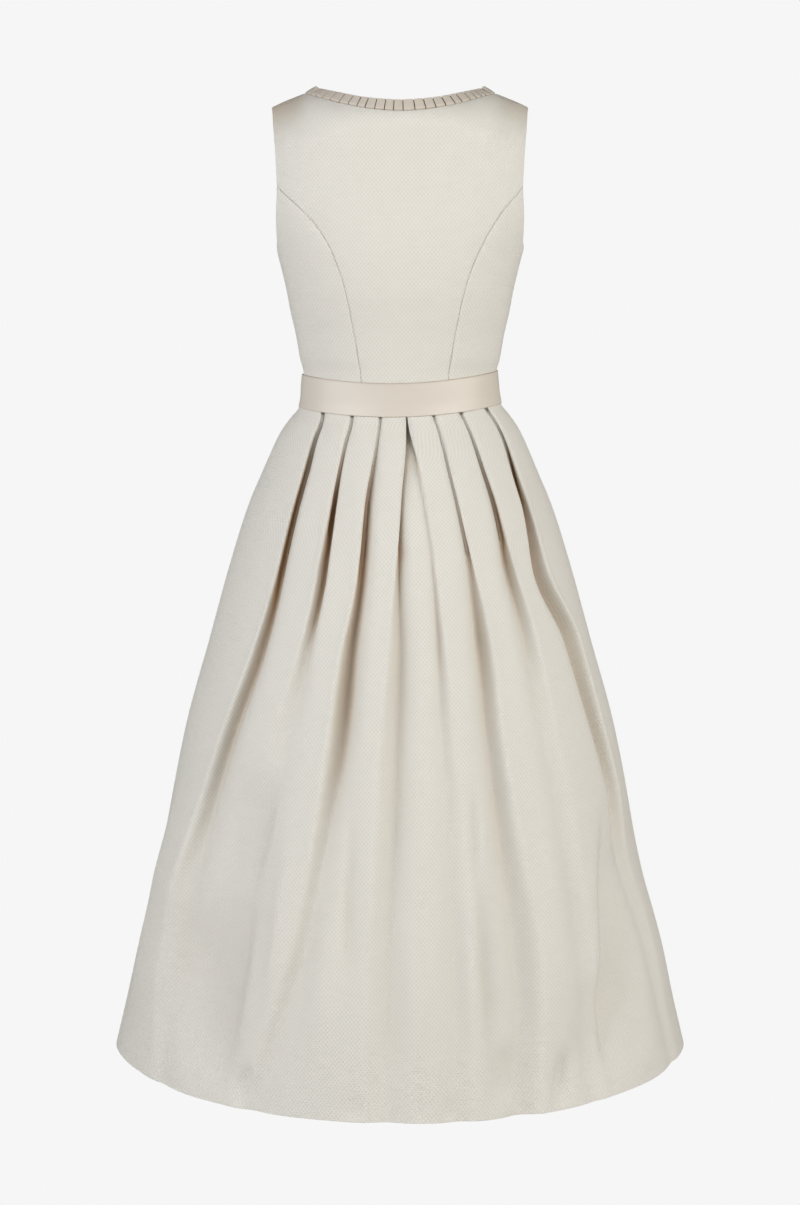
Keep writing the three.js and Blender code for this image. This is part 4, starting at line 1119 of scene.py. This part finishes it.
def softened(line, soft):
    """The line with its corners rounded, its two ends kept where they are."""
    keep = min(PAST_ENDS, len(line) - 1)
    before = 2 * line[0] - line[keep:0:-1]
    after = 2 * line[-1] - line[-2:-keep - 2:-1]
    longer = np.concatenate([before, line, after])
    run = run_along(longer)
    share = np.gradient(run)
    weight = np.exp(-0.5 * ((run[:, None] - run[None, :]) / soft) ** 2) * share[None, :]
    weight /= weight.sum(axis=1, keepdims=True)
    return (weight @ longer)[len(before):len(before) + len(line)]


def skirt_heights(wall):
    """Heights of the rings, closest at the waist and at the hem."""
    part = np.linspace(0, 1, SKIRT_ROWS + 1)
    spread = (part + ROW_SPREAD["wave"] * np.sin(2 * math.pi * part) / math.pi) ** ROW_SPREAD["power"]
    near = np.array(HEM_ROWS) * wall / (SKIRT_TOP - SKIRT_HEM)
    spread = np.concatenate([spread[spread < 1 - 1.5 * near[-1]], 1 - near[::-1]])
    return SKIRT_TOP + (SKIRT_HEM - SKIRT_TOP) * spread


def skirt_panel(node, folds, start, end, turned, cloth, material):
    """One pleated panel: its rings' middle lines, rounded, creased and given the cloth's two faces."""
    wall = cloth.skirt_wall / MM
    heights = skirt_heights(wall)
    rings = [SkirtRing(z, wall) for z in heights]
    lines = [ring_line(folds, z, ring, start, end, turned) for z, ring in zip(heights, rings)]
    mean = np.mean([np.linalg.norm(np.diff(line, axis=0), axis=1) for line in lines], axis=0)
    counts = np.clip(np.round(mean / CURVE_STEP), FEWEST, MOST).astype(int)
    places = [np.array([0.0])]
    for k, count in enumerate(counts):
        part = np.arange(1, count + 1) / count
        places.append(k + (0.5 - 0.5 * np.cos(math.pi * part) if mean[k] > EASED_STRETCH else part))
    places = np.concatenate(places)
    outer, inner, chart, painted_amount = [], [], [], []
    turn_up = cloth.hem_turn / MM
    for z, ring, line in zip(heights, rings, lines):
        soft = softened(read_line(places, np.arange(len(line)), line), float(fold_softness(z)))
        run = run_along(soft)
        ends = np.minimum(run, run[-1] - run)
        soft[:, 1] -= SEAM_SINK * np.exp(-((ends / SEAM_REACH) ** 2))
        across = ring.flat(ring.angle_at(soft[:, 0]))[:, 0]
        soft[:, 1] += skirt_creases(-across if turned else across, z) * eased(ends / CREASE_CALM)
        beside = side_of(soft)
        close = turned_over(np.minimum(ends, z - SKIRT_HEM), wall)[:, None]
        turned_up = float(np.clip((SKIRT_HEM + turn_up - z) / TURN_UP["starts"], 0, 1))
        outer.append(ring.points(soft + beside * (wall / 2 - close)))
        inner.append(ring.points(soft - beside * (wall / 2 + TURN_UP["thick"] * turned_up - close)))
        middle = np.interp(0.5, np.linspace(0, 1, len(run)), run)
        chart.append(np.stack([run - middle, np.full(len(run), z)], axis=1))
        # Painted shade where the folds shut the cloth in.
        painted_amount.append(painted_shade(soft))
    outer, inner, chart, painted_amount = (np.stack(rows[::-1]) for rows in (outer, inner, chart, painted_amount))
    # The painted shade, blended down and across the cloth and eased in below the waist.
    painted_amount = evened(painted_amount, heights[::-1], SHADE_REACH[0])
    painted_amount = evened(painted_amount.T, chart[..., 0].mean(axis=0), SHADE_REACH[1]).T * fold_shade(heights[::-1])[:, None]
    chart[..., 1] = run_along(outer[:, outer.shape[1] // 2])[:, None]
    faces = grid_faces(*outer.shape[:2])
    piece = cloth_piece(f"{node}_cloth", outer, inner, faces, chart, material, painted_amount)
    sew(piece, [node])


def skirt_creases(x, z):
    """How far the hanging cloth stands off its folds: soft swells, troughs, and puckers at the hem."""
    lift = np.zeros(len(x))
    for crease in SKIRT_CREASES:
        (top_x, top), (foot_x, foot) = crease["top"], crease["foot"]
        part = (top - z) / (top - foot)
        if 0 < part < 1:
            taper = eased(min(part, 1 - part) / CREASE_FADE)
            beside = x - top_x - (foot_x - top_x) * part
            wide = np.where(beside > 0, *crease["wide"])
            lift -= crease["deep"] * taper * np.exp(-((beside / wide) ** 2))
    return lift


def seam_angles():
    turn = float(cloth_turn(WAIST)) * DEGREE
    gap = SEAM_ROOM / SKIRT_FORM[0]["half"]
    return -math.pi / 2 - turn, math.pi / 2 - turn, gap


class OBJECT_OT_dirndl_skirt(bpy.types.Operator):
    """Pleat the skirt's two panels and let them hang"""

    bl_idname = "object.dirndl_skirt"
    bl_label = "Skirt"

    def execute(self, context):
        cloth = context.scene.dirndl_cloth
        jacquard = woven_jacquard(cloth)
        right, left, gap = seam_angles()
        around = right + 2 * math.pi
        for node, folds, start, end, turned in (
            ("skirt_back", BACK_FOLDS, right + gap, left - gap, False),
            ("skirt_front", FRONT_FOLDS, left + gap, around - gap, True),
        ):
            skirt_panel(node, folds, start, end, turned, cloth, jacquard)
        return {"FINISHED"}


# ---------------------------------------------------------------- materials

def add_node(tree, kind, inputs=(), **settings):
    """Adds one shader node, with its settings, and its inputs as numbers, colours or sockets to link."""
    node = tree.nodes.new(kind)
    for name, value in settings.items():
        setattr(node, name, value)
    for name, value in dict(inputs).items():
        if isinstance(value, bpy.types.NodeSocket):
            tree.links.new(value, node.inputs[name])
        else:
            node.inputs[name].default_value = value
    return node


def new_material(name):
    """A material with only its output node, or the one of that name that is already made."""
    material = bpy.data.materials.get(name)
    if material:
        return material, None, None
    material = bpy.data.materials.new(name)
    material.use_nodes = True
    material.node_tree.nodes.clear()
    return material, material.node_tree, material.node_tree.nodes.new("ShaderNodeOutputMaterial")


def blend(tree, part, base, other):
    """The base colour with part of another mixed in."""
    return add_node(tree, "ShaderNodeMix", {0: part, 6: base, 7: other}, data_type="RGBA").outputs[2]


def calc(tree, operation, first, second):
    """One sum of two numbers or sockets."""
    return add_node(tree, "ShaderNodeMath", {0: first, 1: second}, operation=operation).outputs[0]


def ramp(tree, value, start, end, low=0.0, high=1.0, kind="SMOOTHSTEP"):
    """Goes from low to high while the value goes from start to end."""
    return add_node(tree, "ShaderNodeMapRange", {
        "Value": value, "From Min": start, "From Max": end, "To Min": low, "To Max": high,
    }, interpolation_type=kind).outputs[0]


def streaks(tree, chart, streak):
    """Noise drawn out along the cloth, in streaks of a real length and height."""
    scale = (1 / (streak["long"] * MM), 1 / (streak["tall"] * MM), 1)
    drawn = add_node(tree, "ShaderNodeMapping", {"Vector": chart, "Scale": scale}).outputs[0]
    return add_node(tree, "ShaderNodeTexNoise", {
        "Vector": drawn, "Scale": 1.0, "Detail": streak["detail"], "Roughness": streak["rough"],
    }).outputs[0]


def finish_cloth(tree, output, base, height, bump, surface):
    """Lays the weave's relief under the cloth's colour and gives it its surface."""
    relief = add_node(tree, "ShaderNodeBump", {"Height": height, **bump}).outputs[0]
    shader = add_node(tree, "ShaderNodeBsdfPrincipled", {"Base Color": base, "Normal": relief, **surface})
    tree.links.new(shader.outputs[0], output.inputs["Surface"])


# How far shut in the cloth is where each of its two painted shades begins and is complete.
PAINTED_HOLLOW = (0.04, 0.6)
PAINTED_DEEP = (0.25, 0.95)
# Where the jacquard's raised lines and sunk dots begin and end, as parts of a diamond, and its slubs.
LATTICE_EDGE = (0.05, 0.15)
DOT_EDGE = (0.27, 0.38)
SLUB_EDGE = (0.56, 0.72)
SLUB = {"long": 30, "tall": 0.9, "detail": 1.5, "rough": 0.6}
JACQUARD_BUMP = {"Strength": 0.6, "Distance": 0.0003}
JACQUARD_SURFACE = {
    "Roughness": 0.62, "IOR": 1.5, "Specular IOR Level": 0.25, "Sheen Weight": 0.04, "Sheen Roughness": 0.4,
}
SATIN_FLOAT = {"long": 12, "tall": 0.7, "detail": 2.0, "rough": 0.5}
SATIN_BUMP = {"Strength": 0.25, "Distance": 0.0002}
SATIN_SURFACE = {
    "Roughness": 0.42, "IOR": 1.5, "Specular IOR Level": 0.5, "Sheen Weight": 0.05, "Sheen Roughness": 0.3,
}


def with_painted_shade(tree, base, shade, deep):
    """The cloth's colour with shade painted in: duller in the hollows between folds, and darker and warmer
    where they shut it in."""
    painted_amount = add_node(tree, "ShaderNodeAttribute", attribute_name="painted_shade").outputs["Fac"]
    for colour_there, edge_there in ((shade, PAINTED_HOLLOW), (deep, PAINTED_DEEP)):
        base = blend(tree, ramp(tree, painted_amount, *edge_there), base, colour_there)
    return base


def woven_jacquard(cloth):
    """Cotton and viscose jacquard, woven: a lattice of raised threads round small sunk dots gives the
    eye a fine diamond grain, and slubs in the weft break it with faint level streaks."""
    material, tree, output = new_material("woven_jacquard")
    if tree is None:
        return material
    chart = add_node(tree, "ShaderNodeUVMap", uv_map="cloth").outputs["UV"]
    split = add_node(tree, "ShaderNodeSeparateXYZ", {0: chart})
    across = calc(tree, "DIVIDE", split.outputs["X"], cloth.diamond_width)
    upward = calc(tree, "DIVIDE", split.outputs["Y"], cloth.diamond_height)
    lines = [calc(tree, "PINGPONG", calc(tree, way, across, upward), 0.5) for way in ("ADD", "SUBTRACT")]
    within = calc(tree, "MINIMUM", *lines)
    raised = ramp(tree, within, *LATTICE_EDGE, 1.0, 0.0)
    sunk = ramp(tree, within, *DOT_EDGE)
    thread = ramp(tree, streaks(tree, chart, SLUB), *SLUB_EDGE, kind="LINEAR")
    mixed = blend(tree, raised, cloth.ground, cloth.lattice)
    # Painted shade mixed into the jacquard's colour in its folds' hollows.
    mixed = with_painted_shade(tree, blend(tree, sunk, mixed, cloth.float_dot), cloth.shade, cloth.deep)
    height = calc(tree, "ADD", calc(tree, "SUBTRACT", raised, sunk), thread)
    finish_cloth(tree, output, mixed, height, JACQUARD_BUMP, JACQUARD_SURFACE)
    return material


def champagne_satin(satin):
    """Polyester satin, woven with long floats: a smooth face that holds soft, wide highlights."""
    material, tree, output = new_material("satin_weave")
    if tree is None:
        return material
    chart = add_node(tree, "ShaderNodeUVMap", uv_map="cloth").outputs["UV"]
    # Painted shade mixed into the satin's colour between its pleats and along the band's edges.
    base = with_painted_shade(tree, satin.satin, satin.shade, satin.deep)
    finish_cloth(tree, output, base, streaks(tree, chart, SATIN_FLOAT), SATIN_BUMP, SATIN_SURFACE)
    return material


# ---------------------------------------------------------------- stage

# Places and sizes are metres.
SOFTBOXES = table(
    ("name", "at", "size", "watts", "tint"),
    ("left_softbox", (3.3, 1.7, 0.3), (2.0, 2.6), 59.5, "#FAFAFD"),
    ("right_softbox", (-3.3, 1.7, 0.3), (2.0, 2.6), 63, "#FFFCF8"),
    ("front_left_softbox", (2.7, 3.3, 1.3), (1.6, 2.0), 69, "#FBFBFE"),
    ("front_right_softbox", (-2.7, 3.3, 1.3), (1.6, 2.0), 69, "#FFFDFB"),
)
# The height in metres that the softboxes are turned to.
LIT_HEIGHT = -0.63
# The studio's walls glow evenly up to this height, as a part of straight up, and its ceiling is dim.
AMBIENT = 0.175
CEILING = {"from": 0.0, "to": 0.42, "left": 0.25}
# The floor gives back only a part of the light, like painted board.
BOARD = "#B9B8B5"
FLOOR = {"radius": 9, "corners": 128}
# The camera's height over the nape in metres, its downward pitch in degrees and its sensor in mm.
CAMERA_HEIGHT = -0.196
CAMERA_PITCH = 5.87
SENSOR = 36
FARTHEST = 100


def put(scene, name, data, at, turn):
    """Places a light or the camera."""
    made = bpy.data.objects.new(name, data)
    scene.collection.objects.link(made)
    made.location = at
    made.rotation_euler = turn
    return made


def light_studio(tree, sky):
    """The studio's walls light the dress evenly and its ceiling dimly, and the eye sees only the backdrop."""
    direction = add_node(tree, "ShaderNodeTexCoord").outputs["Generated"]
    height = add_node(tree, "ShaderNodeSeparateXYZ", {0: direction}).outputs["Z"]
    glow = ramp(tree, height, CEILING["from"], CEILING["to"], AMBIENT, AMBIENT * CEILING["left"])
    seen = add_node(tree, "ShaderNodeLightPath").outputs["Is Camera Ray"]
    tree.links.new(ramp(tree, seen, 0.0, 1.0, glow, 1.0, kind="LINEAR"), sky.inputs["Strength"])


class OBJECT_OT_dirndl_stage(bpy.types.Operator):
    """Set the pale floor, the soft studio light and the camera"""

    bl_idname = "object.dirndl_stage"
    bl_label = "Stage"

    def execute(self, context):
        stage = context.scene.dirndl_stage
        scene = context.scene
        scene.view_settings.view_transform = "Standard"
        world = bpy.data.worlds.new("pale_studio")
        world.use_nodes = True
        sky = world.node_tree.nodes["Background"]
        sky.inputs["Color"].default_value = stage.backdrop
        light_studio(world.node_tree, sky)
        scene.world = world
        aim = np.array([0, 0, LIT_HEIGHT])
        for box in SOFTBOXES:
            data = bpy.data.lights.new(box["name"], "AREA")
            data.shape = "RECTANGLE"
            data.size, data.size_y = box["size"]
            data.energy = box["watts"]
            data.color = linear(box["tint"])[:3]
            towards = Vector(aim - np.array(box["at"])).to_track_quat("-Z", "Y").to_euler()
            put(scene, box["name"], data, box["at"], towards)
        floor_height = SKIRT_BOX[0].z - stage.floor_drop
        bpy.ops.mesh.primitive_circle_add(
            vertices=FLOOR["corners"], radius=FLOOR["radius"], fill_type="NGON", location=(0, 0, floor_height)
        )
        floor = context.object
        floor.name = "studio_floor"
        floor.data.materials.append(pale_floor(stage))
        data = bpy.data.cameras.new("camera")
        data.lens = stage.lens
        data.sensor_width = SENSOR
        data.clip_end = FARTHEST
        turn = ((90 - CAMERA_PITCH) * DEGREE, 0, math.pi)
        scene.camera = put(scene, "camera", data, (0, stage.distance, CAMERA_HEIGHT), turn)
        return {"FINISHED"}


def pale_floor(stage):
    """Matt painted board under its own even light: pale and without a shadow, and clear from below."""
    material, tree, output = new_material("painted_board")
    if tree is None:
        return material
    seen = add_node(tree, "ShaderNodeLightPath").outputs["Is Camera Ray"]
    under = add_node(tree, "ShaderNodeNewGeometry").outputs["Backfacing"]
    board = add_node(tree, "ShaderNodeBsdfDiffuse", {"Color": linear(BOARD)})
    lit = add_node(tree, "ShaderNodeEmission", {"Color": stage.backdrop})
    clear = add_node(tree, "ShaderNodeBsdfTransparent")
    even = add_node(tree, "ShaderNodeMixShader", {0: seen, 1: board.outputs[0], 2: lit.outputs[0]})
    shown = add_node(tree, "ShaderNodeMixShader", {0: under, 1: even.outputs[0], 2: clear.outputs[0]})
    tree.links.new(shown.outputs[0], output.inputs["Surface"])
    return material


class VIEW3D_PT_dirndl(bpy.types.Panel):
    """The dirndl's pieces, one button each"""

    bl_label = "Dirndl"
    bl_idname = "VIEW3D_PT_dirndl"
    bl_space_type = "VIEW_3D"
    bl_region_type = "UI"
    bl_category = "Dirndl"

    def draw(self, context):
        for group in ("dirndl_cloth", "dirndl_satin", "dirndl_stage"):
            box = self.layout.box()
            settings = getattr(context.scene, group)
            for name in settings.bl_rna.properties.keys()[2:]:
                box.prop(settings, name)
        for operator in OPERATORS:
            self.layout.operator(operator.bl_idname)


GROUPS = {"dirndl_cloth": DirndlCloth, "dirndl_satin": DirndlSatin, "dirndl_stage": DirndlStage}
OPERATORS = [
    OBJECT_OT_dirndl_stage,
    OBJECT_OT_dirndl_bodice,
    OBJECT_OT_dirndl_neck_trim,
    OBJECT_OT_dirndl_waistband,
    OBJECT_OT_dirndl_skirt,
]


def register():
    for made in [*GROUPS.values(), *OPERATORS, VIEW3D_PT_dirndl]:
        bpy.utils.register_class(made)
    for name, group in GROUPS.items():
        setattr(bpy.types.Scene, name, bpy.props.PointerProperty(type=group))


def unregister():
    for name in GROUPS:
        delattr(bpy.types.Scene, name)
    for made in reversed([*GROUPS.values(), *OPERATORS, VIEW3D_PT_dirndl]):
        bpy.utils.unregister_class(made)


def main():
    register()
    bpy.ops.object.dirndl_stage()
    bpy.ops.object.dirndl_bodice()
    bpy.ops.object.dirndl_neck_trim()
    bpy.ops.object.dirndl_waistband()
    bpy.ops.object.dirndl_skirt()


if __name__ == "__main__":
    main()
